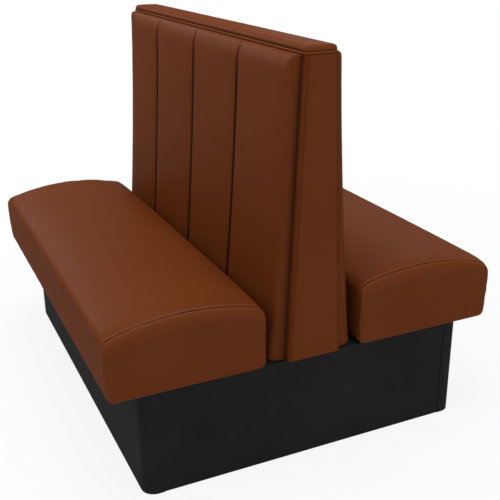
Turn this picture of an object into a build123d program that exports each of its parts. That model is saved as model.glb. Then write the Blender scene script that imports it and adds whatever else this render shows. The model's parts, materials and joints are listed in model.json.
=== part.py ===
from build123d import *
import math
import os

# Double restaurant booth: two padded bench seats back to back on one black plinth,
# with a tall channelled backrest between them. Millimetres, +Z up, +Y along the bench.
# The origin is on the floor under the middle of the backrest.
# The right-hand seat lies towards +X, and the near end of the bench is at -Y.

# Overall
LENGTH = 1219.0            # along the bench, over the padded end boards
HEIGHT = 1067.0            # floor to the top of the cap

# Sheet goods and what is left between them
VINYL = 1.2                # upholstery cover
LAMINATE = 1.2             # black sheet on the plinth
CAMBRIC = 0.8              # dust cover under a seat
FIT = 0.3                  # play between a soft piece and what it wraps
OVERRUN = 4.0              # how far a cutter passes the face that it cuts
ROUND_RISE_SHARE = 0.2929  # height of a quarter circle's arc over its chord, per radius

# Plinth
PLINTH_HEIGHT = 288.0
PLINTH_REACH = 466.0       # middle of the booth to a plinth front
PLINTH_SET_IN = 9.5        # booth end to plinth end
PLINTH_CORNER = 35.0       # radius of its four upright corners
CORNER_RETURN = 50.0       # plinth front to the joint in the laminate on the end
END_RECESS = 1.5           # end laminate behind the corner laminate
LAMINATE_JOINT = 0.8
PLINTH_BOARD = 18.0
CENTRE_BOARD = 15.0        # board on top that carries the backrest
CENTRE_REACH = 165.0
DIVIDER = 18.0
DIVIDER_SHARES = (-0.34, 0.34)

# Floor brackets, inside the plinth
BRACKET_LEG = 40.0
BRACKET_WIDTH = 44.0
BRACKET_STEEL = 3.0
BRACKET_X = 300.0
BRACKET_HOLE = 4.5         # radius of the floor hole

# Seats
SEAT_REACH = 549.0         # middle of the booth to the fullest part of a seat front
SEAT_BACK = 136.0          # middle of the booth to a seat's back
SEAT_FRONT_EDGE = 164.0    # height of the front top edge over the seat's underside
SEAT_BACK_EDGE = 172.0
SEAT_CAMBER = 24.0         # rise of the end seam between those two edges
SEAT_CROWN = 12.0          # further rise at the middle of the bench
SEAT_FRONT_ROUND = 21.0
SEAT_BACK_ROUND = 34.0
SEAT_FRONT_SET = 5.0       # how far the foot of the front is set back
SEAT_FRONT_BULGE = 2.0
SEAT_HEM_ROUND = 7.0
SEAT_END_ROUND = 5.0       # seam at each end, front top to back
# share of the half length, share of the crown
SEAT_CROWN_SHARES = ((0.0, 1.0), (0.68, 0.78))

# Seat frame
RAIL = 38.0                # width of a timber rail
RAIL_HEIGHT = 64.0
SEAT_BOARD = 15.0
EDGE_FOAM = 12.0           # foam round the sides of the frame
CROSS_RAIL_SHARES = (-0.33, 0.33)
HEM_WIDTH = 45.0           # vinyl turned under the frame
CAMBRIC_SET_IN = 14.0
CLEAT_PLAY = 3.0
CLEAT_WIDTH = 45.0
CLEAT_DEPTH = 35.0

# Backrest frame
PANEL_FOOT = 74.0          # half width of a padded end board at the plinth
PANEL_HEAD = 38.0          # and under the cap
END_BOARD = 18.0
END_FOAM = 4.0
END_EDGE_ROUND = 7.0
FRAME_FOOT = 60.0          # middle to the outer face of the plywood back, at the plinth
FRAME_HEAD = 26.0          # and under the cap
BACK_PLY = 9.0
RIB = 18.0
RIB_SHARES = (-0.34, 0.34)
BACK_RAIL = 18.0
MID_RAIL_HEIGHT = 60.0
MID_RAIL_SHARE = 0.5

# Backrest pads, four sewn channels a side
PAD_FOOT = 120.0           # middle to the pad's face at the plinth
PAD_HEAD = 66.0            # and under the cap
PAD_HOLLOW = 5.0           # how far the face is hollow half way up
PAD_LIP = 3.0              # end board's edge to the crease of the last channel
PAD_END_ROLL = 24.0
PAD_FOOT_ROUND = 7.0
PAD_TOP_ROLL = 62.0        # height over which the top rolls in
CHANNEL_SHARES = (0.262, 0.248, 0.257, 0.233)
CHANNEL_CROWN = 3.5
SEAM_DEPTH = 15.0
SEAM_HALF_GAP = 1.4
SEAM_SHOULDER = 9.0
SEAM_TOP_DEPTH = 5.0
# share of the height between the foot round and the top roll
PAD_STATION_SHARES = (0.0, 0.33, 0.67, 1.0)
# share of the top roll's height, share of its draw-in, share of the seam depth
ROLL_SHARES = ((0.55, 0.1, 0.85), (0.84, 0.4, 0.5))

# Cap
CAP_REACH = 40.0           # half width of the padded cap
CAP_WELT = 2.6             # half the thickness of the welt cord round its foot
CAP_WELT_SIDES = 6
CAP_PLAN_ROUND = 10.0
CAP_TOP_ROUND = 7.0
CAP_CAMBER = 2.5
CAP_BOARD = 9.0
CAP_HEIGHT = 18.0

# Fixings
BOLT = 4.0
BOLT_HEAD = 6.5
BOLT_HEAD_HEIGHT = 5.3
BOLT_TAIL = 12.0           # what passes the board under the nut's seat
NUT_HEIGHT = 6.5
BOLT_SHARES = (-0.8, 0.0, 0.8)
RUN_FIT = 0.1              # play of a shank in its hole

# Worked out from the sizes above
half_length = LENGTH / 2
cap_end = half_length - 2 * CAP_WELT - FIT
welt_height = HEIGHT - CAP_HEIGHT + CAP_WELT / math.cos(math.pi / CAP_WELT_SIDES)
plinth_end = half_length - PLINTH_SET_IN
seat_base = PLINTH_HEIGHT + CAMBRIC
cap_foot = HEIGHT - CAP_HEIGHT
head = cap_foot - FIT
end_thickness = VINYL + FIT + END_FOAM + END_BOARD
pad_end = half_length - end_thickness - FIT
core = VINYL + FIT
post_face = PLINTH_REACH - LAMINATE
post_end = plinth_end - LAMINATE
post_inner = PLINTH_REACH - CORNER_RETURN
end_board_face = plinth_end - END_RECESS - LAMINATE
end_board_inner = end_board_face - PLINTH_BOARD
frame_low = seat_base + core
frame_front = SEAT_REACH - SEAT_FRONT_SET - core - EDGE_FOAM
frame_back = SEAT_BACK + core + EDGE_FOAM
frame_end = half_length - core - EDGE_FOAM
board_top = frame_low + RAIL_HEIGHT + SEAT_BOARD


def block(x, y, z):
    """A square-edged piece from its two places along each axis."""
    sizes = [abs(pair[1] - pair[0]) for pair in (x, y, z)]
    middle = [(pair[0] + pair[1]) / 2 for pair in (x, y, z)]
    return Pos(*middle) * Box(*sizes)


def both_ways(y):
    """A span along the bench, from its half length."""
    return (-y, y)


def group(pieces):
    """Several pieces as one flat set of solids."""
    return Compound([solid for piece in pieces for solid in piece.solids()])


def other_side(piece):
    """The same piece on the left-hand side."""
    return group([solid.mirror(Plane.YZ) for solid in piece.solids()])


def other_end(piece):
    """The same piece at the far end."""
    return group([solid.mirror(Plane.XZ) for solid in piece.solids()])


def outline(points, rises, place):
    """A closed wire through 2D points, each side a line or an arc that rises outwards.

    The points run anticlockwise, and place turns a 2D point into a 3D one.
    """
    sides = []
    for index, rise in enumerate(rises):
        start = points[index]
        end = points[(index + 1) % len(points)]
        if rise == 0:
            sides.append(Line(place(*start), place(*end)))
            continue
        along = (end[0] - start[0], end[1] - start[1])
        chord = (along[0] ** 2 + along[1] ** 2) ** 0.5
        crest = (
            (start[0] + end[0]) / 2 + along[1] / chord * rise,
            (start[1] + end[1]) / 2 - along[0] / chord * rise,
        )
        sides.append(ThreePointArc(place(*start), place(*crest), place(*end)))
    return Wire(sides)


def skin_over(outer, inner):
    """A cover: the outer form without the inner one."""
    return outer - inner


# Plinth


def plinth_plan(inset):
    """The right-hand corner wrap's outline in plan, from joint to joint."""
    face = PLINTH_REACH - inset
    end = plinth_end - inset
    turn = PLINTH_CORNER
    rise = ROUND_RISE_SHARE * (turn - inset)
    points = [
        (post_inner, -end),
        (PLINTH_REACH - turn, -end),
        (face, turn - plinth_end),
        (face, plinth_end - turn),
        (PLINTH_REACH - turn, end),
        (post_inner, end),
    ]
    rises = [0, rise, 0, rise, 0, 0]
    return Face(outline(points, rises, lambda x, y: (x, y, 0)))


def plinth_laminate():
    """The black sheet over one plinth front, wrapped round both corners."""
    wrap = extrude(plinth_plan(0), PLINTH_HEIGHT)
    inside = Pos(0, 0, -OVERRUN) * extrude(plinth_plan(LAMINATE), PLINTH_HEIGHT + 2 * OVERRUN)
    behind = block((0, post_inner + OVERRUN), both_ways(post_end), (-OVERRUN, HEIGHT))
    return wrap - inside - behind


def corner_posts():
    """The two rounded corner posts of one plinth front."""
    wood = extrude(plinth_plan(LAMINATE), PLINTH_HEIGHT)
    between = block(
        (0, PLINTH_REACH), both_ways(plinth_end - CORNER_RETURN), (-OVERRUN, PLINTH_HEIGHT + OVERRUN)
    )
    return wood - between


def front_board():
    """The straight plywood board between two corner posts."""
    return block(
        (post_face - PLINTH_BOARD, post_face), both_ways(plinth_end - CORNER_RETURN), (0, PLINTH_HEIGHT)
    )


def end_board():
    """The plywood end of the plinth at the near end."""
    return block(both_ways(post_inner), (-end_board_face, -end_board_inner), (0, PLINTH_HEIGHT))


def end_laminate():
    """The flat black sheet on the plinth's near end."""
    reach = post_inner - LAMINATE_JOINT
    return block(both_ways(reach), (-end_board_face - LAMINATE, -end_board_face), (0, PLINTH_HEIGHT))


def dividers():
    """Cross boards from front to front."""
    top = PLINTH_HEIGHT - CENTRE_BOARD
    reach = post_face - PLINTH_BOARD
    middles = [share * end_board_inner for share in DIVIDER_SHARES]
    return group([block(both_ways(reach), (y - DIVIDER / 2, y + DIVIDER / 2), (0, top)) for y in middles])


def centre_board(bolts):
    """The board on top of the dividers that carries the backrest."""
    board = block(
        both_ways(CENTRE_REACH), both_ways(end_board_inner), (PLINTH_HEIGHT - CENTRE_BOARD, PLINTH_HEIGHT)
    )
    return board - bolts


# Floor brackets


def floor_brackets():
    """Four steel angles against the end boards, with a hole each for a floor anchor."""
    angles = []
    for x in (-BRACKET_X, BRACKET_X):
        for way in (-1, 1):
            across = (x - BRACKET_WIDTH / 2, x + BRACKET_WIDTH / 2)
            outer = way * end_board_inner
            inner = way * (end_board_inner - BRACKET_LEG)
            foot = block(across, (inner, outer), (0, BRACKET_STEEL))
            upright = block(across, (outer - way * BRACKET_STEEL, outer), (0, BRACKET_LEG))
            hole = Pos(x, (inner + outer) / 2, 0) * Cylinder(BRACKET_HOLE, BRACKET_LEG)
            angles.append(foot + upright - hole)
    return group(angles)


# Seat


def seat_wire(y, inset, crown):
    """The right-hand seat's outline square to the bench, drawn in by inset."""
    front = SEAT_REACH - inset
    back = SEAT_BACK + inset
    foot = seat_base + inset
    hem = seat_base + SEAT_HEM_ROUND
    front_top = seat_base + SEAT_FRONT_EDGE + crown / 2
    back_top = seat_base + SEAT_BACK_EDGE + crown / 2
    points = [
        (SEAT_BACK + SEAT_HEM_ROUND, foot),
        (SEAT_REACH - SEAT_FRONT_SET - SEAT_HEM_ROUND, foot),
        (front - SEAT_FRONT_SET, hem),
        (front, front_top - SEAT_FRONT_ROUND),
        (SEAT_REACH - SEAT_FRONT_ROUND, front_top - inset),
        (SEAT_BACK + SEAT_BACK_ROUND, back_top - inset),
        (back, back_top - SEAT_BACK_ROUND),
        (back, hem),
    ]
    hem_rise = ROUND_RISE_SHARE * (SEAT_HEM_ROUND - inset)
    rises = [
        0,
        hem_rise,
        SEAT_FRONT_BULGE,
        ROUND_RISE_SHARE * (SEAT_FRONT_ROUND - inset),
        SEAT_CAMBER + crown / 2,
        ROUND_RISE_SHARE * (SEAT_BACK_ROUND - inset),
        0,
        hem_rise,
    ]
    return outline(points, rises, lambda x, z: (x, y, z))


def seat_form(inset):
    """The crowned seat: a loft along the bench, with a drawn-in seam at each end."""
    run = half_length - SEAT_END_ROUND
    tip = half_length - inset
    middle = [(share * run, rise * SEAT_CROWN) for share, rise in SEAT_CROWN_SHARES]
    stations = [(-y, rise) for y, rise in reversed(middle[1:])] + middle
    wires = [seat_wire(y, inset, rise) for y, rise in [(-run, 0), *stations, (run, 0)]]
    ends = [seat_wire(y, SEAT_END_ROUND, 0) for y in (-tip, tip)]
    return Solid.make_loft([ends[0], *wires, ends[1]], True)


def seat_cover(inside):
    """The vinyl, sewn at both ends and turned under the frame."""
    mouth = block(
        (SEAT_BACK + HEM_WIDTH, SEAT_REACH - HEM_WIDTH),
        both_ways(half_length - HEM_WIDTH),
        (seat_base - OVERRUN, seat_base + SEAT_HEM_ROUND),
    )
    return skin_over(seat_form(0), inside) - mouth


def frame_block(grow, low):
    """The space of the seat frame and its board, for cutting the foam."""
    return block(
        (frame_back - grow, frame_front + grow), both_ways(frame_end + grow), (low, board_top + grow)
    )


def seat_foam(form):
    """The crowned foam block on the seat board."""
    below = block((0, PLINTH_REACH * 2), both_ways(LENGTH), (0, board_top + FIT))
    return form - below


def seat_edge_foam(form):
    """Foam round the frame: a strip along the front and the back, and one at each end."""
    above = block((0, PLINTH_REACH * 2), both_ways(LENGTH), (board_top, HEIGHT))
    ring = form - above - frame_block(FIT, 0)
    strips = []
    for x in ((0, frame_back), (frame_front, PLINTH_REACH * 2)):
        strips.append(ring & block(x, both_ways(LENGTH), (0, HEIGHT)))
    for way in (-1, 1):
        ends = block((frame_back + FIT, frame_front - FIT), (0, way * LENGTH), (0, HEIGHT))
        strips.append(ring & ends)
    return group(strips)


def seat_rail(front):
    """The timber rail along the front or the back of a seat."""
    x = (frame_front - RAIL, frame_front) if front else (frame_back, frame_back + RAIL)
    return block(x, both_ways(frame_end), (frame_low, frame_low + RAIL_HEIGHT))


def seat_cross_rails():
    """The rails across a seat: one at each end and two between."""
    ends = [(-frame_end, RAIL - frame_end), (frame_end - RAIL, frame_end)]
    middles = [share * frame_end for share in CROSS_RAIL_SHARES]
    spans = ends + [(y - RAIL / 2, y + RAIL / 2) for y in middles]
    x = (frame_back + RAIL, frame_front - RAIL)
    z = (frame_low, frame_low + RAIL_HEIGHT)
    return group([block(x, y, z) for y in spans])


def seat_board():
    """The plywood deck of a seat."""
    return block((frame_back, frame_front), both_ways(frame_end), (frame_low + RAIL_HEIGHT, board_top))


def dust_cover():
    """Black cloth under the seat frame."""
    return block(
        (SEAT_BACK + CAMBRIC_SET_IN, SEAT_REACH - SEAT_FRONT_SET - CAMBRIC_SET_IN),
        both_ways(half_length - CAMBRIC_SET_IN),
        (PLINTH_HEIGHT, seat_base),
    )


def seat_cleats():
    """Timber cleats under the seat that drop between the plinth's posts and centre board."""
    x = (CENTRE_REACH + CLEAT_PLAY, post_inner - CLEAT_PLAY)
    outer = end_board_inner - CLEAT_PLAY
    z = (PLINTH_HEIGHT - CLEAT_DEPTH, PLINTH_HEIGHT)
    return group([block(x, (-outer, CLEAT_WIDTH - outer), z), block(x, (outer - CLEAT_WIDTH, outer), z)])


# Backrest frame


def lean(foot, top, z):
    """A half width at height z, from its size at the plinth and under the cap."""
    return foot + (top - foot) * (z - PLINTH_HEIGHT) / (head - PLINTH_HEIGHT)


def end_form(inset, inner, low, high):
    """The near end board's tapered form between two heights, its outer edges rounded."""
    foot = lean(PANEL_FOOT, PANEL_HEAD, low) - inset
    top = lean(PANEL_FOOT, PANEL_HEAD, high) - inset
    face = inset - half_length
    corners = [(-foot, low), (foot, low), (top, high), (-top, high)]
    wire = outline(corners, [0, 0, 0, 0], lambda x, z: (x, face, z))
    form = extrude(Face(wire), amount=inner - face, dir=(0, 1, 0))
    uprights = form.faces().sort_by(Axis.Y)[0].edges().filter_by(Axis.X, reverse=True)
    return fillet(uprights, END_EDGE_ROUND - inset)


def end_pieces():
    """The plywood, the foam and the vinyl of the near end board."""
    inner = end_thickness - half_length
    split = core + END_FOAM - half_length
    whole = end_form(core, inner, PLINTH_HEIGHT, head)
    outer_side = block(both_ways(LENGTH), (-LENGTH, split), (0, HEIGHT))
    cutter = end_form(VINYL, inner + OVERRUN, PLINTH_HEIGHT - OVERRUN, head + OVERRUN)
    vinyl = skin_over(end_form(0, inner, PLINTH_HEIGHT, head), cutter)
    return whole - outer_side, whole & outer_side, vinyl


def tapered(y, low, high, shrink):
    """A board square to the bench that tapers with the backrest's frame."""
    foot = lean(FRAME_FOOT, FRAME_HEAD, low) - shrink
    top = lean(FRAME_FOOT, FRAME_HEAD, high) - shrink
    corners = [(-foot, low), (foot, low), (top, high), (-top, high)]
    wire = outline(corners, [0, 0, 0, 0], lambda x, z: (x, y[0], z))
    return extrude(Face(wire), amount=y[1] - y[0], dir=(0, 1, 0))


rib_low = PLINTH_HEIGHT + BACK_RAIL
rib_high = head - BACK_RAIL
frame_run = half_length - end_thickness


def back_ribs():
    """Tapered plywood ribs: one against each end board and two between."""
    ends = [(-frame_run, RIB - frame_run), (frame_run - RIB, frame_run)]
    middles = [share * frame_run for share in RIB_SHARES]
    spans = ends + [(y - RIB / 2, y + RIB / 2) for y in middles]
    return group([tapered(y, rib_low, rib_high, BACK_PLY) for y in spans])


def back_mid_rails():
    """Short rails half way up between the ribs."""
    middle = rib_low + MID_RAIL_SHARE * (rib_high - rib_low)
    z = (middle - MID_RAIL_HEIGHT / 2, middle + MID_RAIL_HEIGHT / 2)
    faces = [RIB - frame_run]
    for share in RIB_SHARES:
        faces += [share * frame_run - RIB / 2, share * frame_run + RIB / 2]
    faces.append(frame_run - RIB)
    spans = zip(faces[::2], faces[1::2])
    return group([tapered(y, z[0], z[1], BACK_PLY) for y in spans])


def back_rail(low, bolts):
    """The rail along the foot or the head of the backrest."""
    rail = tapered(both_ways(frame_run), low, low + BACK_RAIL, BACK_PLY)
    return rail - bolts


def back_panel():
    """The leaning plywood sheet behind the right-hand pad."""
    low = PLINTH_HEIGHT
    foot = lean(FRAME_FOOT, FRAME_HEAD, low)
    top = lean(FRAME_FOOT, FRAME_HEAD, head)
    corners = [(foot - BACK_PLY, low), (foot, low), (top, head), (top - BACK_PLY, head)]
    wire = outline(corners, [0, 0, 0, 0], lambda x, z: (x, -frame_run, z))
    return extrude(Face(wire), amount=2 * frame_run, dir=(0, 1, 0))


def bolt_places():
    """Where the bolts hold the backrest down."""
    return [share * frame_run for share in BOLT_SHARES]


def back_bolts(play):
    """Bolts down through the foot rail and the centre board."""
    length = BACK_RAIL + CENTRE_BOARD + BOLT_TAIL
    bolts = []
    for y in bolt_places():
        shank = Pos(0, y, rib_low - length / 2) * Cylinder(BOLT + play, length)
        hexagon = extrude(Plane.XY * RegularPolygon(BOLT_HEAD, 6), BOLT_HEAD_HEIGHT)
        bolts.append(shank + Pos(0, y, rib_low) * hexagon)
    return group(bolts)


def back_nuts(bolts):
    """The nuts under the centre board."""
    top = PLINTH_HEIGHT - CENTRE_BOARD
    hexagon = extrude(Plane.XY * RegularPolygon(BOLT_HEAD, 6), -NUT_HEIGHT)
    return group([Pos(0, y, top) * hexagon - bolts for y in bolt_places()])


# Backrest pads


def pad_face(z):
    """How far the pad's face is from the middle at height z, before its rolled edges."""
    share = (z - PLINTH_HEIGHT) / (head - PLINTH_HEIGHT)
    return PAD_FOOT + (PAD_HEAD - PAD_FOOT) * share - PAD_HOLLOW * 4 * share * (1 - share)


def seam_places():
    """Where the three seams lie along the bench."""
    places = []
    reached = 0
    for share in CHANNEL_SHARES[:-1]:
        reached += share
        places.append(2 * pad_end * reached - pad_end)
    return places


def pad_wire(z, inset, back, draw, depth):
    """The right-hand pad's outline in plan at height z, with its channels."""
    face = pad_face(z) - draw - inset
    lip = lean(PANEL_FOOT, PANEL_HEAD, z) + PAD_LIP - inset
    end = pad_end - inset
    roll = PAD_END_ROLL - pad_end
    gap = SEAM_HALF_GAP + inset
    shoulder = SEAM_HALF_GAP + SEAM_SHOULDER
    rise = ROUND_RISE_SHARE * (min(depth, SEAM_SHOULDER) - inset / 2)
    roll_rise = ROUND_RISE_SHARE * (PAD_END_ROLL - inset)
    points = [(back, -end), (lip, -end), (face, roll)]
    rises = [0, roll_rise, CHANNEL_CROWN]
    for seam in seam_places():
        points += [
            (face, seam - shoulder),
            (face - depth, seam - gap),
            (face - depth, seam + gap),
            (face, seam + shoulder),
        ]
        rises += [rise, 0, rise, CHANNEL_CROWN]
    points += [(face, -roll), (lip, end), (back, end)]
    rises += [roll_rise, 0, 0]
    return outline(points, rises, lambda x, y: (x, y, z))


def strip_wire(index, z, back, draw, depth):
    """The outline in plan of one channel's foam strip, with chamfers inside the cover's rounds."""
    edges = [-pad_end, *seam_places(), pad_end]
    face = pad_face(z) - draw - core
    gap = SEAM_HALF_GAP + core
    shoulder = SEAM_HALF_GAP + SEAM_SHOULDER
    lip = lean(PANEL_FOOT, PANEL_HEAD, z) + PAD_LIP - core
    if index == 0:
        near = [(lip, core + edges[0]), (face, PAD_END_ROLL + edges[0])]
    else:
        near = [(face - depth, edges[index] + gap), (face, edges[index] + shoulder)]
    if index == len(CHANNEL_SHARES) - 1:
        far = [(face, edges[-1] - PAD_END_ROLL), (lip, edges[-1] - core)]
    else:
        far = [(face, edges[index + 1] - shoulder), (face - depth, edges[index + 1] - gap)]
    points = [(back, near[0][1]), *near, *far, (back, far[1][1])]
    return outline(points, [0] * len(points), lambda x, y: (x, y, z))


def pad_loft(inset, behind, wire):
    """A pad's loft: its rounded foot, its leaning face and its rolled top.

    wire gives the outline at height z, from the back's place, the draw-in and the seam depth.
    """
    low = PLINTH_HEIGHT + FIT + inset
    face = (PLINTH_HEIGHT + FIT + PAD_FOOT_ROUND, head - PAD_TOP_ROLL)
    top_draw = PAD_HEAD - CAP_REACH - CAP_WELT
    stations = [(low, PAD_FOOT_ROUND, SEAM_DEPTH)]
    for share in PAD_STATION_SHARES:
        stations.append((face[0] + share * (face[1] - face[0]), 0, SEAM_DEPTH))
    for height, draw, depth in ROLL_SHARES:
        stations.append((face[1] + height * PAD_TOP_ROLL, draw * top_draw, depth * SEAM_DEPTH))
    stations.append((head - inset, top_draw, SEAM_TOP_DEPTH))
    wires = [wire(z, lean(FRAME_FOOT, FRAME_HEAD, z) + behind, draw, depth) for z, draw, depth in stations]
    return Solid.make_loft(wires, True)


def back_cover():
    """The channelled vinyl, open against the plywood."""
    outer = pad_loft(0, FIT, lambda z, *rest: pad_wire(z, 0, *rest))
    inner = pad_loft(VINYL, -OVERRUN, lambda z, *rest: pad_wire(z, VINYL, *rest))
    return skin_over(outer, inner)


def back_foam():
    """The foam strips under the vinyl, one to a channel."""
    strips = []
    for index in range(len(CHANNEL_SHARES)):
        strips.append(pad_loft(core, FIT, lambda z, *rest: strip_wire(index, z, *rest)))
    return group(strips)


# Cap


def cap_form(inset, foot):
    """The padded cap: its section, its side view and its plan taken together."""
    reach = CAP_REACH - inset
    end = cap_end - inset
    shoulder = HEIGHT - CAP_CAMBER - CAP_TOP_ROUND
    top = HEIGHT - CAP_CAMBER - inset
    rise = ROUND_RISE_SHARE * (CAP_TOP_ROUND - inset)
    square = CAP_REACH - CAP_TOP_ROUND
    section = outline(
        [(-reach, foot), (reach, foot), (reach, shoulder), (square, top), (-square, top), (-reach, shoulder)],
        [0, 0, rise, CAP_CAMBER, rise, 0],
        lambda x, z: (x, -LENGTH, z),
    )
    run = cap_end - CAP_TOP_ROUND
    crest = HEIGHT - inset
    side = outline(
        [(-end, foot), (end, foot), (end, shoulder), (run, crest), (-run, crest), (-end, shoulder)],
        [0, 0, rise, 0, rise, 0],
        lambda y, z: (-LENGTH, y, z),
    )
    plan = Plane.XY * RectangleRounded(2 * reach, 2 * end, CAP_PLAN_ROUND - inset)
    form = extrude(Face(section), amount=2 * LENGTH, dir=(0, 1, 0))
    form &= extrude(Face(side), amount=2 * LENGTH, dir=(1, 0, 0))
    return form & extrude(plan, HEIGHT + OVERRUN)


def cap_pieces():
    """The board, the foam and the vinyl of the cap."""
    split = cap_foot + CAP_BOARD
    whole = cap_form(core, cap_foot)
    above = block(both_ways(LENGTH), both_ways(LENGTH), (split, HEIGHT + OVERRUN))
    vinyl = skin_over(cap_form(0, cap_foot), cap_form(VINYL, cap_foot - OVERRUN))
    return whole - above, whole & above, vinyl


def cap_welt():
    """The covered cord sewn round the foot of the cap."""
    reach = CAP_REACH + FIT + CAP_WELT
    end = cap_end + FIT + CAP_WELT
    turn = CAP_PLAN_ROUND + FIT + CAP_WELT
    path = Plane.XY.offset(welt_height) * RectangleRounded(2 * reach, 2 * end, turn)
    start = Plane(origin=(reach, 0, welt_height), x_dir=(1, 0, 0), z_dir=(0, 1, 0))
    cord = RegularPolygon(CAP_WELT, CAP_WELT_SIDES, major_radius=False, rotation=180 / CAP_WELT_SIDES)
    return sweep(start * cord, path=path.wire())


# Every node, by name


def booth():
    """All the pieces of the booth."""
    bolts = back_bolts(0)
    bolt_holes = back_bolts(RUN_FIT)
    near_board, near_foam, near_vinyl = end_pieces()
    cap_board, cap_foam, cap_vinyl = cap_pieces()
    nodes = {
        "plinth_corner_posts": group([corner_posts(), other_side(corner_posts())]),
        "plinth_dividers": dividers(),
        "plinth_centre_board": centre_board(bolt_holes),
        "near_plinth_end_board": end_board(),
        "far_plinth_end_board": other_end(end_board()),
        "near_plinth_laminate": end_laminate(),
        "far_plinth_laminate": other_end(end_laminate()),
        "floor_brackets": floor_brackets(),
        "near_end_board": near_board,
        "near_end_foam": near_foam,
        "near_end_cover": near_vinyl,
        "far_end_board": other_end(near_board),
        "far_end_foam": other_end(near_foam),
        "far_end_cover": other_end(near_vinyl),
        "backrest_ribs": back_ribs(),
        "backrest_mid_rails": back_mid_rails(),
        "backrest_foot_rail": back_rail(PLINTH_HEIGHT, bolt_holes),
        "backrest_head_rail": back_rail(rib_high, bolt_holes),
        "backrest_bolts": bolts,
        "backrest_nuts": back_nuts(bolt_holes),
        "cap_board": cap_board,
        "cap_foam": cap_foam,
        "cap_cover": cap_vinyl,
        "cap_welt": cap_welt(),
    }
    seat_inside = seat_form(VINYL)
    seat_soft = seat_form(core)
    right = {
        "plinth_front_board": front_board(),
        "plinth_front_laminate": plinth_laminate(),
        "backrest_panel": back_panel(),
        "backrest_foam": back_foam(),
        "backrest_cover": back_cover(),
        "seat_front_rail": seat_rail(True),
        "seat_back_rail": seat_rail(False),
        "seat_cross_rails": seat_cross_rails(),
        "seat_board": seat_board(),
        "seat_foam": seat_foam(seat_soft),
        "seat_edge_foam": seat_edge_foam(seat_soft),
        "seat_cover": seat_cover(seat_inside),
        "seat_dust_cover": dust_cover(),
        "seat_cleats": seat_cleats(),
    }
    for name, piece in right.items():
        nodes["right_" + name] = piece
        nodes["left_" + name] = other_side(piece)
    return nodes


os.makedirs("parts", exist_ok=True)
for name, piece in booth().items():
    export_step(group([piece]), f"parts/{name}.step")
    print(name, len(piece.solids()), round(piece.volume))
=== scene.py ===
"""Dresses the double restaurant booth: vinyl seats and backrest, black plinth, studio and camera."""

import json
import logging
import math
from dataclasses import dataclass
from enum import Enum
from typing import Iterable, Sequence

import bmesh
import bpy
import numpy as np
from mathutils import Matrix, Vector


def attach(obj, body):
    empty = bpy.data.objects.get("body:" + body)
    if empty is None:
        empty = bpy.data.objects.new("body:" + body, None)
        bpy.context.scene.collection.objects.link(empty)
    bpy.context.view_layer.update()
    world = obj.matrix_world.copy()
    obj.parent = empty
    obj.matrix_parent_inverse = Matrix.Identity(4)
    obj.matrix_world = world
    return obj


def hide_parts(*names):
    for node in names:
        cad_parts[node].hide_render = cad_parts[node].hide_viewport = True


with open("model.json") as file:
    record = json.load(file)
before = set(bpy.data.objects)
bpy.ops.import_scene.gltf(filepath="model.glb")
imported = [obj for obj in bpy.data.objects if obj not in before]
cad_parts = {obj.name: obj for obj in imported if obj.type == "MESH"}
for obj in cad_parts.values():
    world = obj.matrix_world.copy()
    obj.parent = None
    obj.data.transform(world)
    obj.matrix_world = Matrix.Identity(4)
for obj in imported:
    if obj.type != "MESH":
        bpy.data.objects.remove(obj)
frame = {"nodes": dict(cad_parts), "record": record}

log = logging.getLogger("booth")

Colour = tuple[float, float, float, float]

# The booth's sizes, in millimetres as in the solids, and one millimetre in the scene's metres

MM = 0.001
LENGTH = 1219.0
HALF_LENGTH = LENGTH / 2
HEIGHT = 1067.0
PLINTH_HEIGHT = 288.0
PLINTH_REACH = 466.0
CAMBRIC = 0.8
CAP_HEIGHT = 18.0
CAP_SETBACK = 5.5
FIT = 0.3
CAP_FOOT = HEIGHT - CAP_HEIGHT
HEAD = CAP_FOOT - FIT
NEAR_FLARE = 0.01
FAR_FLARE = 0.02
QUARTER_RISE = 0.2929


class Side(Enum):
    """Which half of the booth a piece belongs to, with its direction along X."""

    RIGHT = 1
    LEFT = -1

    @property
    def word(self) -> str:
        """The side's name as the nodes spell it."""
        return self.name.lower()


class End(Enum):
    """Which end of the bench a piece belongs to, with its direction along Y."""

    NEAR = -1
    FAR = 1

    @property
    def word(self) -> str:
        """The end's name as the nodes spell it."""
        return self.name.lower()


class Slot(Enum):
    """The record's material slots."""

    VINYL = "chestnut_vinyl"
    LAMINATE = "black_laminate"
    BLACK_PLY = "black_plywood"
    CAMBRIC = "black_cambric"
    FOAM = "foam"
    PLYWOOD = "plywood"
    SOFTWOOD = "softwood"
    STEEL = "zinc_steel"


# Curves and numbers


def smooth(value: np.ndarray, low: float, high: float) -> np.ndarray:
    """A smooth step from 0 at low to 1 at high.

    Args:
        value: Numbers of any shape.
        low: Where the step starts.
        high: Where it ends.

    Returns:
        The step's height at each number.
    """
    share = np.clip((value - low) / (high - low), 0.0, 1.0)
    return share * share * (3 - 2 * share)


def quarter(share: np.ndarray) -> np.ndarray:
    """How far a quarter ellipse has fallen, from 0 at share 0 to 1 at share 1."""
    share = np.clip(share, 0.0, 1.0)
    return 1 - np.sqrt(1 - share * share)


def lean(foot: float, top: float, z: np.ndarray) -> np.ndarray:
    """A half width of the backrest at height z, from its size at the plinth and under the cap."""
    return foot + (top - foot) * (z - PLINTH_HEIGHT) / (HEAD - PLINTH_HEIGHT)


def flare(y: np.ndarray, z: np.ndarray) -> np.ndarray:
    """Places along the bench, spread a little more the higher they are on the backrest."""
    share = np.clip((z - PLINTH_HEIGHT) / (HEAD - PLINTH_HEIGHT), 0, 1)
    return y * (1 + np.where(y > 0, FAR_FLARE, NEAR_FLARE) * share)


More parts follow.
